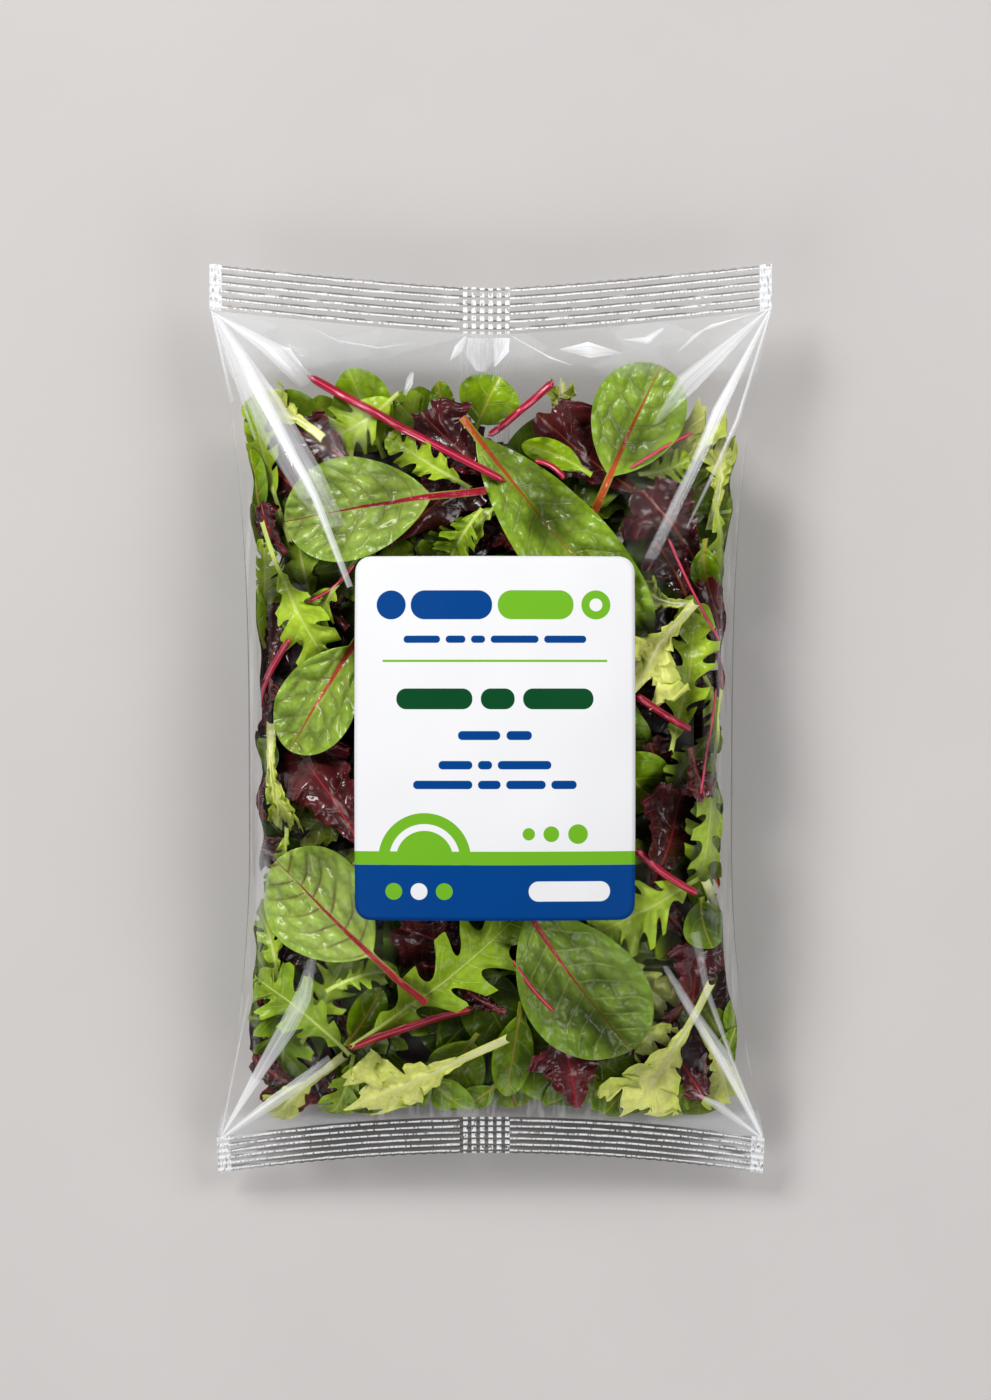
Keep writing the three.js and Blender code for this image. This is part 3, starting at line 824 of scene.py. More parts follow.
leafLooks = {
    "chard": {
        "dark": (58, 90, 6), "light": (180, 206, 92), "ribColour": (158, 16, 44), "warmRib": (190, 84, 36),
        "veinColour": (166, 192, 84), "marginColour": (132, 172, 36), "warmBlade": (146, 184, 10),
        "redVein": (120, 62, 34), "reddened": 0.4,  # red side veins near the rib
        "rib": 1.35, "taper": -0.03, "vein": 0.09, "cell": 3.2, "roughness": 0.27, "shine": 0.38,
    },
    "spinach": {
        "dark": (62, 98, 2), "light": (164, 200, 22), "ribColour": (176, 202, 84),
        "warmRib": (186, 160, 70), "veinColour": (158, 194, 58), "marginColour": (136, 176, 24),
        "rib": 0.6, "taper": -0.012, "vein": 0.07, "cell": 3.4, "roughness": 0.26, "shine": 0.25,
    },
    "mizuna": {
        "dark": (98, 138, 8), "light": (196, 224, 62), "ribColour": (206, 220, 120),
        "warmRib": (200, 214, 110), "veinColour": (182, 210, 78), "marginColour": (166, 200, 44),
        "rib": 0.75, "taper": -0.012, "vein": 0.06, "cell": 3.2, "roughness": 0.28, "shine": 0.25,
    },
    "frisee": {
        "dark": (162, 186, 28), "light": (244, 246, 140), "ribColour": (240, 244, 190),
        "warmRib": (236, 238, 160), "veinColour": (236, 242, 150), "marginColour": (184, 208, 50),
        "rib": 1.3, "taper": -0.03, "vein": 0.1, "cell": 3.0, "roughness": 0.28, "shine": 0.28,
    },
    "oak": {
        "dark": (42, 20, 17), "light": (108, 32, 38), "ribColour": (160, 30, 48), "warmRib": (160, 84, 44),
        "veinColour": (118, 44, 38), "marginColour": (112, 20, 38),
        "rib": 0.7, "taper": -0.015, "vein": 0.05, "cell": 3.4, "roughness": 0.23, "shine": 0.55,
    },
    # Stalks: the rib colour draws a painted highlight along the top and the underside of each stalk, and
    # the darker margin colour is painted shade towards its underside
    "stem": {
        "dark": (132, 6, 34), "light": (186, 16, 56), "ribColour": (222, 74, 106), "warmRib": (206, 60, 92),
        "veinColour": (170, 14, 50), "marginColour": (104, 4, 26),
        "rib": 0.35, "taper": 0.0, "vein": 0.02, "cell": 9.0, "roughness": 0.28, "shine": 0.5,
    },
}


def leafMaterial(name):
    look = leafLooks[name]
    material, tree = newMaterial(name + "Leaf")
    spot = attribute(tree, "leafSpot")["Vector"]
    leaf = attribute(tree, "leafOwn")["Vector"]
    own = split(tree, leaf)
    marks = placeGroup(tree, leafVeins, {
        "Spot": spot, "Turn": own[2], "Rib": look["rib"], "Taper": look["taper"], "Vein": look["vein"],
        "Cell": look["cell"],
    })
    warm = attribute(tree, "leafWarm")["Fac"]
    tone = sums(tree, "MULTIPLY_ADD", marks["Blotch"], 0.35, times(tree, own[0], 0.65))
    colour = blend(tree, tone, linear(*look["dark"]), linear(*look["light"]))
    colour = blend(tree, times(tree, marks["Margin"], 0.45), colour, linear(*look["marginColour"]))
    if "warmBlade" in look:  # leaves with orange ribs have yellower blades
        colour = blend(tree, times(tree, warm, 0.5), colour, linear(*look["warmBlade"]))
    # Painted shade: darker towards the edges of the pucker cells, as in the creases between them
    cellEdgeShade = times(tree, inverse(tree, marks["Cells"]), 0.18)
    colour = blend(tree, cellEdgeShade, colour, linear(*look["dark"]))
    colour = blend(tree, times(tree, marks["Veins"], 0.6), colour, linear(*look["veinColour"]))
    if "redVein" in look:
        across = sums(tree, "ABSOLUTE", split(tree, spot)[0])
        nearRib = inverse(tree, ramp(tree, across, 3.0, 16.0))
        reddened = times(tree, nearRib, times(tree, own[0], look["reddened"]))
        reddened = times(tree, marks["Veins"], reddened)
        colour = blend(tree, reddened, colour, linear(*look["redVein"]))
    ribColour = blend(tree, warm, linear(*look["ribColour"]), linear(*look["warmRib"]))
    colour = blend(tree, marks["Rib"], colour, ribColour)
    # Painted shade: the colour goes towards black deep in the heap and in the creases between puckers
    colour = blend(tree, own[1], (0, 0, 0, 1), colour)
    height = sums(tree, "SUBTRACT", times(tree, marks["Cells"], 0.4), marks["Veins"])
    bump = put(tree, "ShaderNodeBump", {"Height": height, "Strength": 0.3, "Distance": 0.0006})
    shader = put(tree, "ShaderNodeBsdfPrincipled", {
        "Base Color": colour, "Roughness": look["roughness"], "Specular IOR Level": look["shine"],
        "Normal": bump.outputs[0],
    })
    showSurface(tree, shader.outputs[0])
    return material


def growLeaves(name, pieceName):
    bm = bmesh.new()
    spotLayer = bm.verts.layers.float_vector.new("leafSpot")
    ownLayer = bm.verts.layers.float_vector.new("leafOwn")
    warmLayer = bm.verts.layers.float.new("leafWarm")
    for leaf in front["leaves"] + back["leaves"]:
        if leaf["name"] != name:
            continue
        verts = addGrid(bm, leaf["columns"], leaf["rows"])[0]
        moveTo(verts, leaf["x"], leaf["y"], leaf["z"])
        own = np.column_stack((np.full_like(leaf["x"], leaf["tone"]), leaf["shade"], leaf["vein"]))
        for vert, place, ownPart in zip(verts, leaf["spot"], own):
            vert[spotLayer] = place
            vert[ownLayer] = ownPart
            vert[warmLayer] = leaf["warm"]
    piece = finishPiece(pieceName, bm, leafMaterial(name))
    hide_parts("filled_bag")


leafPieces = {
    "chard": ("chardLeaves", "round_leaf"),
    "spinach": ("spinachLeaves", "round_leaf"),
    "mizuna": ("mizunaLeaves", "lobed_leaf"),
    "frisee": ("friseeLeaves", "frilly_leaf"),
    "oak": ("oakLeaves", "dark_leaf"),
    "stem": ("redStems", "red_stem"),
}
for name, (pieceName, slot) in leafPieces.items():
    growLeaves(name, pieceName)
print("leaves grown")


# The middle of the heap: a dark sheet of painted shade, which shows only as darkness between the leaves
heapCore = {
    "columns": 46, "rows": 70, "inset": 0.84, "deep": 0.12, "ends": (0.07, 0.86),
    "lumps": 2.2, "lumpSize": 19,
}


def heapCorePiece():
    bm = bmesh.new()
    for side in (1, -1):
        verts, a, b = addGrid(bm, heapCore["columns"], heapCore["rows"])
        across = np.sin(a * np.pi / 2)
        along = 0.5 + 0.5 * np.sin(b * np.pi / 2)
        x, y, z = pillow(mix(*heapCore["ends"], along), across * heapCore["inset"], side)
        ends = np.sqrt(np.clip(1 - np.abs(b) ** 6, 0, 1)) * np.sqrt(np.clip(1 - np.abs(a) ** 6, 0, 1))
        middle = midHeight(along, across)
        lump = heapCore["lumps"] * ripple(x, y, heapCore["lumpSize"], 8.0) * ends
        moveTo(verts, x, y, middle + (z - middle) * heapCore["deep"] * ends + lump)
        if side < 0:
            turnOver(bm, verts)
    material, tree = newMaterial("heapShade")
    place = objectPlace(tree)
    patches = noise(tree, place, 70.0, 4.0)
    colour = blend(tree, ramp(tree, patches, 0.4, 0.6), linear(18, 24, 10), linear(30, 12, 14))
    shader = put(tree, "ShaderNodeBsdfPrincipled", {"Base Color": colour, "Roughness": 0.6})
    showSurface(tree, shader.outputs[0])
    piece = finishPiece("heapMiddle", bm, material)
    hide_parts("filled_bag")


heapCorePiece()
print("heap filled")


# Clear film: see-through, with a gloss that grows at a slant, and milk that carries painted light and shade
filmLook = {
    "gloss": 0.003,
    "roughness": 0.06,
    "milkRoughness": 0.22,
    "sideSheen": 0.28,  # painted sheen at the sides
    "facetSheen": 0.16,  # painted sheen of gathered facets under the seals
    # a faint painted light near the ends
    "paintedEndLight": 0.1,
    # a painted dark reflection where the film turns away
    "darkEdgeReflection": 0.6,
    "topFrom": (0.124, 0.134),  # metres from the middle
    "bottomFrom": (-0.148, -0.143),
}


# The milk also carries painted light and shade: highlights, sheen and dark lines
def filmShader(tree, milkAndPaintedLight, milkAndPaintedLightColour=(0.9, 0.92, 0.93, 1), gloss=None, normal=None):
    facing = turnedAway(tree)
    slant = sums(tree, "POWER", facing, 5.0)
    base = filmLook["gloss"] if gloss is None else gloss
    shine = sums(tree, "MULTIPLY_ADD", slant, 0.75, base, clamp=True)
    clear = put(tree, "ShaderNodeBsdfTransparent").outputs[0]
    mirrorInputs = {"Base Color": (1, 1, 1, 1), "Metallic": 1.0, "Roughness": filmLook["roughness"]}
    milkInputs = {"Base Color": milkAndPaintedLightColour, "Roughness": filmLook["milkRoughness"]}
    if normal is not None:
        mirrorInputs["Normal"] = normal
        milkInputs["Normal"] = normal
    mirror = put(tree, "ShaderNodeBsdfPrincipled", mirrorInputs).outputs[0]
    milkAndPaintedLightLayer = put(tree, "ShaderNodeBsdfPrincipled", milkInputs).outputs[0]
    glossy = put(tree, "ShaderNodeMixShader", {0: shine, 1: clear, 2: mirror}).outputs[0]
    surface = put(tree, "ShaderNodeMixShader", {0: milkAndPaintedLight, 1: glossy, 2: milkAndPaintedLightLayer}).outputs[0]
    showSurface(tree, surface)


# The film itself: nearly unseen in the middle, with painted sheen in long streaks towards its sides, a thin
# dark line of painted reflection where it turns away, and faint facets of painted sheen and painted light
# where it is gathered under the seals
def pillowMaterial():
    material, tree = newMaterial("clearFilm")
    place = objectPlace(tree)
    parts = split(tree, place)
    dents = noise(tree, place, 38.0, 2.0)
    normal = put(tree, "ShaderNodeBump", {"Height": dents, "Strength": 0.35, "Distance": 0.002}).outputs[0]
    facing = turnedAway(tree)
    # Painted sheen: milky streaks where the film slants towards its sides
    streak = stretched(tree, place, (420.0, 22.0, 60.0))
    streak = noise(tree, streak, 1.0, 2.0)
    sides = times(tree, ramp(tree, facing, 0.2, 0.5), ramp(tree, streak, 0.45, 0.7))
    sides = times(tree, sides, filmLook["sideSheen"])
    # Painted sheen on gathered facets and painted light near the ends
    facetSheen = stretched(tree, place, (44.0, 120.0, 30.0))
    facetSheen = put(tree, "ShaderNodeTexVoronoi", {"Vector": facetSheen, "Scale": 1.0}).outputs[1]
    facetSheen = split(tree, facetSheen)[0]
    nearTop = ramp(tree, parts[1], *filmLook["topFrom"])
    nearBottom = inverse(tree, ramp(tree, parts[1], *filmLook["bottomFrom"]))
    ends = larger(tree, nearTop, nearBottom)
    ends = times(tree, ends, sums(tree, "MULTIPLY_ADD", facetSheen, filmLook["facetSheen"], filmLook["paintedEndLight"]))
    # Painted dark reflection: a dark grey line where the film turns away
    turned = ramp(tree, facing, 0.7, 0.8)
    milkAndPaintedLight = larger(tree, sides, ends)
    milkAndPaintedLight = larger(tree, milkAndPaintedLight, times(tree, turned, filmLook["darkEdgeReflection"]))
    colour = blend(tree, turned, linear(236, 238, 240), linear(86, 86, 84))
    filmShader(tree, milkAndPaintedLight, milkAndPaintedLightColour=colour, normal=normal)
    return material


filmGrid = {"columns": 120, "rows": 190}


def filmPillow():
    bm = bmesh.new()
    for side in (1, -1):
        verts, a, b = addGrid(bm, filmGrid["columns"], filmGrid["rows"])
        x, y, z = pillow(0.5 + 0.5 * np.sin(b * np.pi / 2), np.sin(a * np.pi / 2), side)
        moveTo(verts, x, y, z)
        if side < 0:
            turnOver(bm, verts)
    piece = finishPiece("filmPillow", bm, pillowMaterial(), mergeGap=0.02)
    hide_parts("filled_bag")


filmPillow()


# Crimped end seals: pressed ribs with painted highlights and shade, a waffle where the fin seam is sealed
# in, and milky corners
sealLook = {
    "ribs": 6, "ribDepth": 0.45, "columns": 180, "rowsPerRib": 8, "serration": 0.4, "pitch": 1.9,
    "ribWander": 0.3,
    "lineFrom": 0.07,  # shares of a rib's pitch from its crest, for the painted highlight line
    "lineTo": 0.15,
    "darkAt": 0.72,  # where the painted shade band lies in a rib
    "darkFrom": 0.08,
    "darkTo": 0.22,
    "waffle": 3.1,
    "cornerFrom": 98.6,  # millimetres from the middle
    "brightFrom": (66.0, 99.0),
    "shadeFrom": (6.0, 30.0),
    "shadeTo": (55.0, 95.0),
    "milkAndPaintedLight": 0.3,
}


def sealMaterial():
    material, tree = newMaterial("crimpedFilm")
    spot = attribute(tree, "sealSpot")["Vector"]
    parts = split(tree, spot)
    speckle = noise(tree, spot, 1.1, 3.0)
    streak = stretched(tree, spot, (0.05, 1.0, 1.0))
    streak = noise(tree, streak, 1.9, 3.0)
    wander = sealLook["ribWander"]
    ribTurn = sums(tree, "ADD", sums(tree, "MULTIPLY_ADD", streak, wander, parts[1]), -wander / 2)
    ribPlace = sums(tree, "FRACT", ribTurn)
    ribAway = apart(tree, ribPlace, 0.5)
    darkAway = apart(tree, ribPlace, sealLook["darkAt"])
    # Painted highlights: thin white lines on the rib crests, and broad streaks over them
    lineWidth = sums(tree, "MULTIPLY_ADD", parts[2], 0.07, sealLook["lineTo"])
    line = inverse(tree, ramp(tree, ribAway, sealLook["lineFrom"], lineWidth))
    line = times(tree, line, ramp(tree, speckle, 0.3, 0.5))
    broad = times(tree, ramp(tree, streak, 0.5, 0.68), inverse(tree, ramp(tree, ribAway, 0.1, 0.3)))
    line = larger(tree, line, times(tree, broad, 0.75))
    # Painted shade: a dark band on the slope of each rib
    darkWidth = sums(tree, "MULTIPLY_ADD", parts[2], 0.18, sealLook["darkTo"])
    dark = inverse(tree, ramp(tree, darkAway, sealLook["darkFrom"], darkWidth))
    dark = times(tree, dark, ramp(tree, streak, 0.3, 0.5))
    fromFin = apart(tree, parts[0], finSeam["centre"])
    onFin = sums(tree, "LESS_THAN", fromFin, finSeam["width"] / 2)
    finTurn = sums(tree, "DIVIDE", parts[0], sealLook["waffle"])
    finAway = apart(tree, sums(tree, "FRACT", finTurn), 0.5)
    dot = times(tree, ramp(tree, finAway, 0.18, 0.26), ramp(tree, ribAway, 0.12, 0.22))
    dot = times(tree, dot, ramp(tree, speckle, 0.36, 0.44))
    fromMiddle = sums(tree, "ABSOLUTE", parts[0])
    cornerFrom = sums(tree, "MULTIPLY_ADD", parts[2], -2.2, sealLook["cornerFrom"])
    cornerTo = sums(tree, "ADD", cornerFrom, 0.6)
    corner = times(tree, ramp(tree, fromMiddle, cornerFrom, cornerTo), ramp(tree, speckle, 0.34, 0.46))
    # Painted highlights: brighter streaks towards the ends, stronger on the lower seal
    bright = times(tree, ramp(tree, fromMiddle, *sealLook["brightFrom"]), ramp(tree, streak, 0.36, 0.56))
    bright = times(tree, bright, sums(tree, "MULTIPLY_ADD", parts[2], 0.5, 0.1))
    white = put(tree, "ShaderNodeMix", {0: onFin, 2: line, 3: dot}).outputs[0]
    white = larger(tree, white, times(tree, corner, 0.92))
    white = larger(tree, white, bright)
    body = sums(tree, "MULTIPLY_ADD", parts[2], 0.45, sealLook["milkAndPaintedLight"])
    milkAndPaintedLight = larger(tree, times(tree, dark, 0.85), body)
    milkAndPaintedLight = larger(tree, milkAndPaintedLight, times(tree, white, 0.95))
    # Painted shade: darker greys on the lower seal and in a wide stretch to each side of the middle
    colour = blend(tree, parts[2], linear(180, 177, 175), linear(98, 93, 87))
    darkColour = blend(tree, parts[2], linear(100, 97, 94), linear(26, 24, 21))
    shadeEnd = inverse(tree, ramp(tree, fromMiddle, *sealLook["shadeTo"]))
    wideDark = times(tree, ramp(tree, fromMiddle, *sealLook["shadeFrom"]), shadeEnd)
    wideDark = times(tree, wideDark, sums(tree, "MULTIPLY_ADD", parts[2], 0.55, 0.2))
    colour = blend(tree, wideDark, colour, darkColour)
    colour = blend(tree, dark, colour, darkColour)
    colour = blend(tree, white, colour, linear(250, 251, 253))
    filmShader(tree, milkAndPaintedLight, milkAndPaintedLightColour=colour, gloss=0.03)
    return material


def endSeals():
    bm = bmesh.new()
    layer = bm.verts.layers.float_vector.new("sealSpot")
    ribs = sealLook["ribs"]
    for seal in (bottomSeal, topSeal):
        verts, a, b = addGrid(bm, sealLook["columns"], ribs * sealLook["rowsPerRib"])
        out = (b + 1) / 2
        along = np.full_like(a, 1.0 if seal["end"] > 0 else 0.0)
        x = a * halfWidth(along)
        notch = sealLook["serration"] * np.abs((x / sealLook["pitch"]) % 2 - 1) * smooth((out - 0.9) * 10)
        y = innerEdge(seal, a) + seal["end"] * (seal["height"] * out - notch)
        ridge = sealLook["ribDepth"] * (0.5 - 0.5 * np.cos(out * ribs * 2 * np.pi))
        z = midHeight(along, a) - seal["droop"] * out + ridge
        moveTo(verts, x, y, z)
        shaded = np.full_like(x, 1.0 if seal["end"] < 0 else 0.0)  # the lower seal gets painted shade
        for vert, spot in zip(verts, np.column_stack((x, out * ribs, shaded))):
            vert[layer] = spot
        if seal["end"] < 0:
            turnOver(bm, verts)
    piece = finishPiece("endSeals", bm, sealMaterial())
    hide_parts("filled_bag")


endSeals()
print("film made")


# Tension folds: creased strips of film that fan out of each corner, with painted highlights along them.
# Each has its left and right edge in pixels of the photograph, how strongly its painted highlight shows at
# each step, and how far across it is brightest, where 0 or 1 is a sharp edge.
folds = [
    # top left
    ([(209, 310), (262, 352), (300, 388)], [(209, 310), (285, 347), (316, 380)], [0.95, 0.75, 0.1], 0.3),
    ([(213, 314), (243, 395), (285, 475), (322, 530)], [(221, 318), (280, 398), (322, 470), (346, 525)],
     [0.6, 0.5, 0.36, 0.12], 0.75),
    ([(212, 316), (230, 372), (262, 440), (300, 500)], [(216, 315), (243, 362), (282, 426), (318, 496)],
     [0.5, 0.5, 0.35, 0.2], 0.9),
    ([(214, 316), (238, 358), (273, 426), (312, 500), (347, 588)],
     [(216, 315), (245, 353), (281, 420), (318, 494), (353, 586)], [0.9, 1.0, 1.0, 0.9, 0.4], 0.3),
    ([(211, 312), (230, 404)], [(213, 311), (234, 402)], [0.8, 0.2], 0.5),
    ([(213, 316), (254, 440)], [(215, 315), (257, 439)], [0.6, 0.2], 0.5),
    # top right
    ([(770, 308), (693, 335), (677, 352)], [(770, 310), (712, 324), (679, 352)], [0.95, 0.9, 0.3], 0.8),
    ([(768, 309), (678, 376), (652, 425)], [(768, 311), (698, 388), (658, 424)], [0.85, 0.55, 0.12], 0.2),
    ([(769, 310), (713, 408), (690, 463), (644, 558)], [(771, 311), (724, 413), (706, 456), (656, 560)],
     [0.95, 0.9, 0.55, 0.12], 0.25),
    ([(769, 312), (736, 418), (716, 463), (686, 527)], [(771, 312), (740, 420), (720, 465), (688, 528)],
     [0.8, 0.7, 0.5, 0.2], 0.5),
    # bottom left
    ([(220, 1138), (251, 1076), (275, 1031), (296, 992), (308, 958)],
     [(222, 1137), (268, 1070), (296, 1031), (311, 1000), (316, 958)], [0.95, 0.85, 0.5, 0.4, 0.12], 0.6),
    ([(220, 1138), (267, 1099), (328, 1055)], [(221, 1140), (275, 1108), (335, 1067)],
     [0.95, 0.8, 0.25], 0.5),
    ([(220, 1137), (248, 994)], [(222, 1137), (250, 994)], [0.5, 0.15], 0.5),
    # bottom right
    ([(761, 1138), (716, 1060), (684, 1007), (662, 966)],
     [(763, 1136), (731, 1056), (699, 1012), (668, 966)], [0.95, 0.85, 0.5, 0.15], 0.35),
    ([(761, 1139), (715, 1109), (692, 1093)], [(762, 1137), (722, 1103), (692, 1091)],
     [0.9, 0.6, 0.2], 0.5),
    ([(762, 1136), (732, 1064), (704, 992), (690, 933)], [(763, 1135), (735, 1062), (710, 990), (700, 931)],
     [0.6, 0.5, 0.35, 0.2], 0.5),
    # glints under the top seal
    ([(512, 336), (549, 356), (572, 365)], [(512, 337), (550, 359), (572, 366)], [0.6, 0.85, 0.3], 0.5),
    ([(560, 349), (588, 342), (622, 353)], [(560, 350), (590, 358), (622, 354)], [0.6, 0.95, 0.3], 0.0),
    ([(622, 339), (645, 337), (662, 327)], [(622, 340), (648, 344), (664, 330)], [0.4, 0.9, 0.6], 0.5),
    ([(403, 394), (407, 378), (411, 372)], [(406, 396), (413, 384), (414, 373)], [0.3, 0.7, 0.5], 0.9),
    ([(270, 345), (288, 352), (300, 366)], [(270, 346), (290, 348), (303, 366)], [0.3, 0.8, 0.5], 0.9),
    ([(307, 326), (338, 340), (378, 347), (418, 342)], [(307, 327), (338, 342), (378, 349), (418, 343)],
     [0.3, 0.5, 0.5, 0.2], 0.5),
    # the fin seam's end, seen through the film, drawn as painted highlights
    ([(450, 360), (455, 346), (465, 336)], [(450, 361), (462, 352), (468, 338)], [0.6, 0.85, 0.6], 0.0),
    ([(468, 338), (466, 356), (476, 371)], [(495, 338), (497, 356), (485, 372)], [0.4, 0.3, 0.5], 0.0),
    ([(494, 338), (494, 352), (494, 366)], [(510, 338), (509, 352), (495, 367)], [0.8, 0.85, 0.7], 1.0),
]
foldForm = {"lift": 0.3, "ridge": 0.3, "border": 0.55, "stepsAlong": 60, "stepsAcross": 16}


def foldHighlightMaterial():
    material, tree = newMaterial("creaseHighlightFilm")
    spot = attribute(tree, "foldSpot")["Vector"]
    parts = split(tree, spot)
    streak = stretched(tree, spot, (9.0, 1.6, 0.0))
    streak = noise(tree, streak, 1.0, 2.0)
    # The milk is each strip's painted highlight, broken up along its length
    broken = sums(tree, "MULTIPLY_ADD", ramp(tree, streak, 0.38, 0.62), 0.35, 0.7)
    milkAndPaintedLight = sums(tree, "MULTIPLY", parts[2], broken, clamp=True)
    filmShader(tree, milkAndPaintedLight, milkAndPaintedLightColour=(0.98, 0.985, 1.0, 1), gloss=0.01)
    return material


def creases():
    bm = bmesh.new()
    layer = bm.verts.layers.float_vector.new("foldSpot")
    for number, (left, right, highlightStrengths, brightest) in enumerate(folds):
        verts, a, b = addGrid(bm, foldForm["stepsAcross"], foldForm["stepsAlong"])
        reach = (b + 1) / 2
        side = (a + 1) / 2
        knots = np.linspace(0, 1, len(left))
        pixels = []
        for k in (0, 1):
            edges = [np.interp(reach, knots, [pixel[k] for pixel in line]) for line in (left, right)]
            pixels.append(mix(*edges, side))
        x, y, z = onFront(*pixels)
        peak = foldForm["ridge"] * (1 - np.abs(a)) * np.sin(np.pi * np.clip(reach * 1.2, 0, 1))
        moveTo(verts, x, y, z + foldForm["lift"] + peak)
        highlightStrength = np.interp(reach, np.linspace(0, 1, len(highlightStrengths)), highlightStrengths)
        before = smooth(side / brightest) if brightest > 0 else 1
        after = smooth((1 - side) / (1 - brightest)) if brightest < 1 else 1
        highlightStrength = highlightStrength * mix(foldForm["border"], 1, np.where(side < brightest, before, after))
        for vert, spot in zip(verts, np.column_stack((side + number * 3, reach + number * 2, highlightStrength))):
            vert[layer] = spot
    piece = finishPiece("tensionFoldHighlights", bm, foldHighlightMaterial())
    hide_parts("filled_bag")


creases()


# Fin seam along the back, pressed flat against it
def finStrip():
    bm = bmesh.new()
    verts, a, b = addGrid(bm, finSeam["columns"], finSeam["rows"])
    x = finSeam["centre"] + a * finSeam["width"] / 2
    low = innerEdge(bottomSeal, x / filmForm["bottomHalf"]) + 1
    high = innerEdge(topSeal, x / filmForm["topHalf"]) - 1
    y = mix(low, high, (b + 1) / 2)
    moveTo(verts, x, y, np.maximum(filmHeight(x, y, -1) - finSeam["under"], 0.1))
    bmesh.ops.reverse_faces(bm, faces=bm.faces)
    material, tree = newMaterial("finFilm")
    place = objectPlace(tree)
    ribs = put(tree, "ShaderNodeTexWave", {"Vector": place, "Scale": 160.0, "Distortion": 0.6}).outputs[1]
    filmShader(tree, sums(tree, "MULTIPLY_ADD", ribs, 0.3, 0.12))
    piece = finishPiece("finStrip", bm, material)
    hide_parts("filled_bag")


finStrip()
print("folds and seams made")


# Label: stiff paper that follows the film, with a plain print of bars, discs, a ring and two bands
labelForm = {
    "x": (labelLow.x + labelHigh.x) / 2 / mm,
    "y": (labelLow.y + labelHigh.y) / 2 / mm,
    "width": (labelHigh.x - labelLow.x) / mm,
    "height": (labelHigh.y - labelLow.y) / mm,
    "corner": 5.5,
    "lift": 0.75,
    "thickness": 0.25,
    "columns": 60,
    "rows": 78,
}
printColours = {
    "paper": (234, 234, 236), "blue": (0, 64, 134), "leaf": (112, 178, 38), "title": (10, 72, 36),
}


# Mask of a rounded bar, with its middle and half sizes in millimetres from the label's middle
def barGroup():
    inputs = {"X": 0.0, "Y": 0.0, "Centre X": 0.0, "Centre Y": 0.0, "Half X": 10.0, "Half Y": 2.0}
    inputs["Corner"] = 1.0
    group, entry, leave = newGroup("printedBar", inputs, ["Mask"])
    over = []
    for axis in ("X", "Y"):
        away = apart(group, entry[axis], entry["Centre " + axis])
        straight = sums(group, "SUBTRACT", entry["Half " + axis], entry["Corner"])
        over.append(larger(group, sums(group, "SUBTRACT", away, straight), 0))
    squares = sums(group, "ADD", sums(group, "POWER", over[0], 2.0), sums(group, "POWER", over[1], 2.0))
    far = sums(group, "SUBTRACT", sums(group, "SQRT", squares), entry["Corner"])
    group.links.new(inverse(group, ramp(group, far, -0.08, 0.08)), leave.inputs["Mask"])
    return group


printedBar = barGroup()


# A row of short bars, as long as words would be, set to the middle
def barRow(centreY, halfY, lengths, gap, ink):
    left = -(sum(lengths) + gap * (len(lengths) - 1)) / 2
    row = []
    for length in lengths:
        row.append((left + length / 2, centreY, length / 2, halfY, halfY * 0.95, ink))
        left += length + gap
    return row


printedBars = [
    # centre x, centre y, half x, half y, corner, colour
    (-37.0, 47.5, 5.2, 5.2, 5.2, "blue"), (-15.5, 47.5, 14.5, 5.2, 5.0, "blue"),
    (14.5, 47.5, 13.5, 5.2, 5.0, "leaf"), (36.0, 47.5, 5.2, 5.2, 5.2, "leaf"),
    (36.0, 47.5, 2.3, 2.3, 2.3, "paper"),
    *barRow(35.2, 1.3, (13, 7, 5, 17, 15), 2.0, "blue"), (0.0, 27.5, 40.0, 0.4, 0.3, "leaf"),
    *barRow(14.0, 3.7, (27, 12, 25), 3.0, "title"), *barRow(1.0, 1.6, (15, 9), 2.2, "blue"),
    *barRow(-9.5, 1.5, (12, 5, 19), 2.0, "blue"), *barRow(-16.5, 1.5, (21, 8, 14, 9), 2.0, "blue"),
    # a round field that rises behind the bands, and small discs
    (-25.0, -43.0, 16.5, 16.5, 16.5, "leaf"), (-25.0, -43.0, 12.6, 12.6, 12.6, "paper"),
    (-25.0, -43.0, 10.2, 10.2, 10.2, "leaf"), (12.0, -34.0, 2.2, 2.2, 2.2, "leaf"),
    (20.0, -34.0, 2.8, 2.8, 2.8, "leaf"), (29.5, -34.0, 3.5, 3.5, 3.5, "leaf"),
    (0.0, -58.0, 60.0, 13.0, 0.1, "blue"), (0.0, -42.6, 60.0, 2.4, 0.1, "leaf"),
    (26.5, -54.5, 14.5, 3.6, 3.5, "paper"), (-36.0, -54.5, 3.0, 3.0, 3.0, "leaf"),
    (-27.0, -54.5, 3.0, 3.0, 3.0, "paper"), (-18.0, -54.5, 3.0, 3.0, 3.0, "leaf"),
]


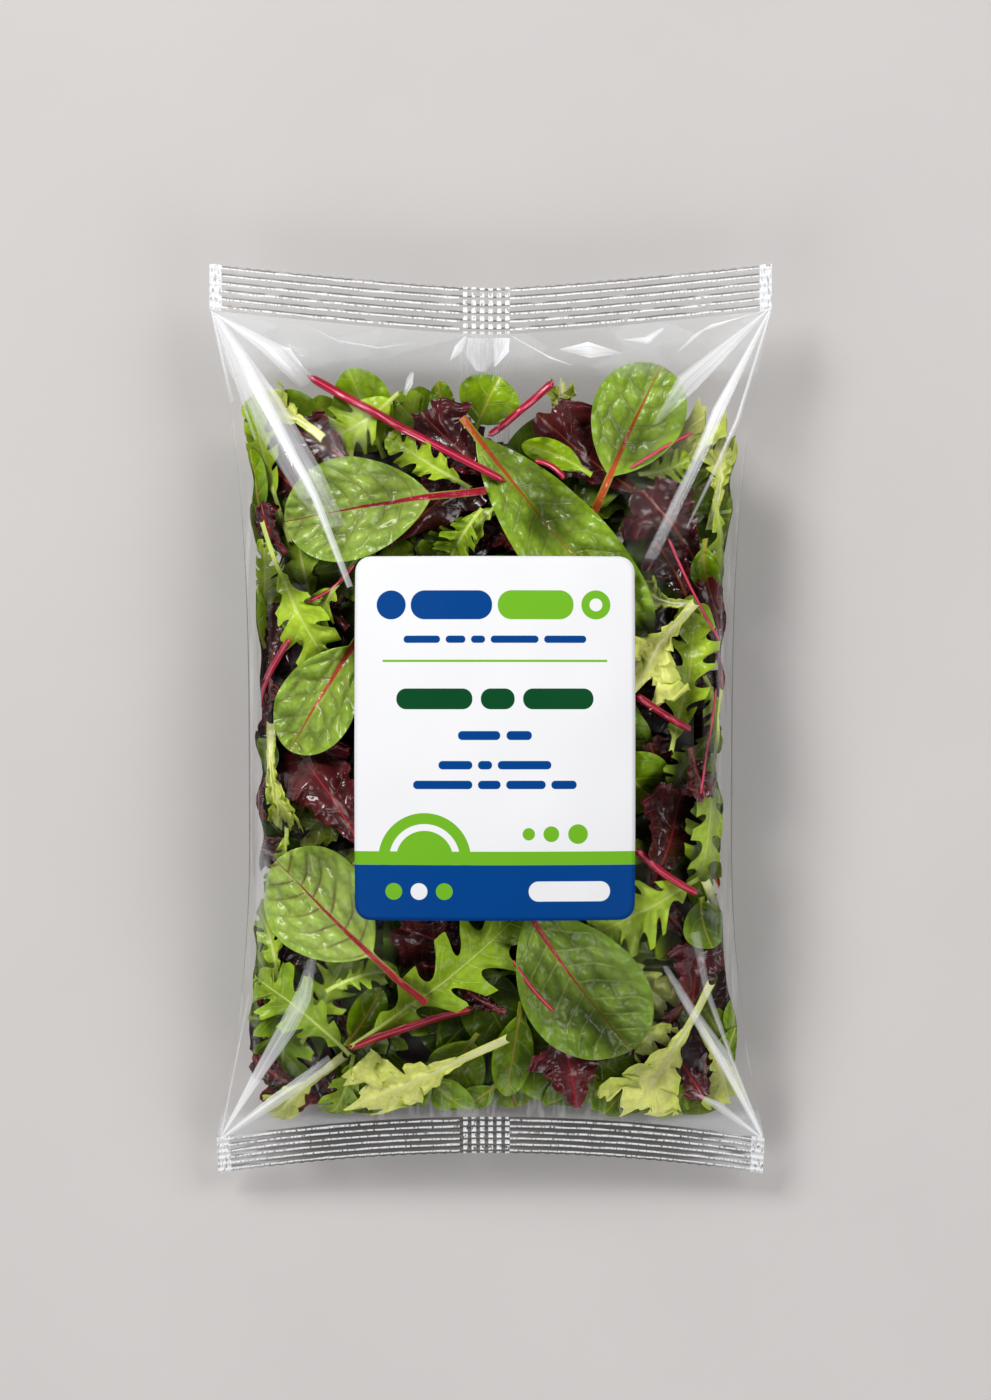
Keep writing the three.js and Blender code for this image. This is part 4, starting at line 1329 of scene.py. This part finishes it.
def labelMaterial():
    material, tree = newMaterial("printedLabel")
    place = objectPlace(tree)
    place = put(tree, "ShaderNodeMapping", {
        "Vector": place, "Scale": (1 / mm, 1 / mm, 1 / mm),
        "Location": (-labelForm["x"], -labelForm["y"], 0),
    }).outputs[0]
    parts = split(tree, place)
    x, y = parts[0], parts[1]
    colour = linear(*printColours["paper"])
    grain = noise(tree, place, 1.4, 4.0)
    for centreX, centreY, halfX, halfY, corner, ink in printedBars:
        mask = placeGroup(tree, printedBar, {
            "X": x, "Y": y, "Centre X": centreX, "Centre Y": centreY, "Half X": halfX, "Half Y": halfY,
            "Corner": corner,
        })["Mask"]
        colour = blend(tree, mask, colour, linear(*printColours[ink]))
    bump = put(tree, "ShaderNodeBump", {"Height": grain, "Strength": 0.06, "Distance": 0.0002}).outputs[0]
    shader = put(tree, "ShaderNodeBsdfPrincipled", {
        "Base Color": colour, "Roughness": 0.5, "Specular IOR Level": 0.06, "Normal": bump,
    })
    showSurface(tree, shader.outputs[0])
    return material


def labelSheet():
    bm = bmesh.new()
    verts, a, b = addGrid(bm, labelForm["columns"], labelForm["rows"])
    halfX, halfY, corner = labelForm["width"] / 2, labelForm["height"] / 2, labelForm["corner"]
    x, y = a * halfX, b * halfY
    overX = np.maximum(np.abs(x) - (halfX - corner), 0)
    overY = np.maximum(np.abs(y) - (halfY - corner), 0)
    shrink = np.maximum(overX, overY) / np.maximum(np.hypot(overX, overY), 0.0001)
    x = np.where(overX * overY > 0, np.sign(x) * (halfX - corner + overX * shrink), x) + labelForm["x"]
    y = np.where(overX * overY > 0, np.sign(y) * (halfY - corner + overY * shrink), y) + labelForm["y"]
    moveTo(verts, x, y, filmHeight(x, y) + labelForm["lift"])
    piece = finishPiece("labelSheet", bm, labelMaterial())
    thick = piece.modifiers.new("paper", "SOLIDIFY")
    thick.thickness = labelForm["thickness"] * mm
    thick.offset = -1
    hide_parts("label")


labelSheet()
print("label made")


# Stage: a plain pale floor, soft light and a grey room
stageLook = {
    "floorHalf": 3,  # metres
    "floorUnder": 0.2,  # millimetres under the bag
    "aim": (0, 0, 0.03),  # where the lights point, in metres
    "roomColour": (0.93, 0.95, 1.0, 1),
    "roomLight": 0.12,
}
floorMesh = bmesh.new()
bmesh.ops.create_grid(floorMesh, x_segments=1, y_segments=1, size=stageLook["floorHalf"])
bmesh.ops.translate(floorMesh, verts=floorMesh.verts, vec=(0, 0, -stageLook["floorUnder"] * mm))
floorData = bpy.data.meshes.new("floor")
floorMesh.to_mesh(floorData)
floorMesh.free()
floor = bpy.data.objects.new("floor", floorData)
bpy.context.scene.collection.objects.link(floor)
floorMaterial, floorTree = newMaterial("paleFloor")
floorPlace = objectPlace(floorTree)
floorNoise = noise(floorTree, floorPlace, 9.0, 6.0)
floorColour = blend(floorTree, floorNoise, linear(196, 192, 190), linear(204, 200, 198))
floorShader = put(floorTree, "ShaderNodeBsdfPrincipled", {"Base Color": floorColour, "Roughness": 0.8})
showSurface(floorTree, floorShader.outputs[0])
floorData.materials.append(floorMaterial)

softboxes = [
    # place in metres, size in metres, power in watts
    ((-1.2, 1.6, 1.5), (0.8, 0.8), 46.0),
    ((1.5, 1.3, 1.7), (1.2, 1.2), 26.0),
    ((-1.3, -1.3, 1.45), (1.3, 1.3), 17.0),
    ((1.3, -1.3, 1.45), (1.3, 1.3), 15.0),
]
for number, (place, size, power) in enumerate(softboxes):
    lightData = bpy.data.lights.new(f"softbox{number}", "AREA")
    lightData.shape = "RECTANGLE"
    lightData.size, lightData.size_y = size
    lightData.energy = power
    light = bpy.data.objects.new(f"softbox{number}", lightData)
    light.location = place
    ray = Vector(stageLook["aim"]) - Vector(place)
    light.rotation_euler = ray.to_track_quat("-Z", "Y").to_euler()
    bpy.context.scene.collection.objects.link(light)

room = bpy.data.worlds.new("room")
bpy.context.scene.world = room
room.use_nodes = True
background = room.node_tree.nodes["Background"].inputs
background[0].default_value = stageLook["roomColour"]
background[1].default_value = stageLook["roomLight"]
bpy.context.scene.view_settings.view_transform = "Standard"
print("stage set")
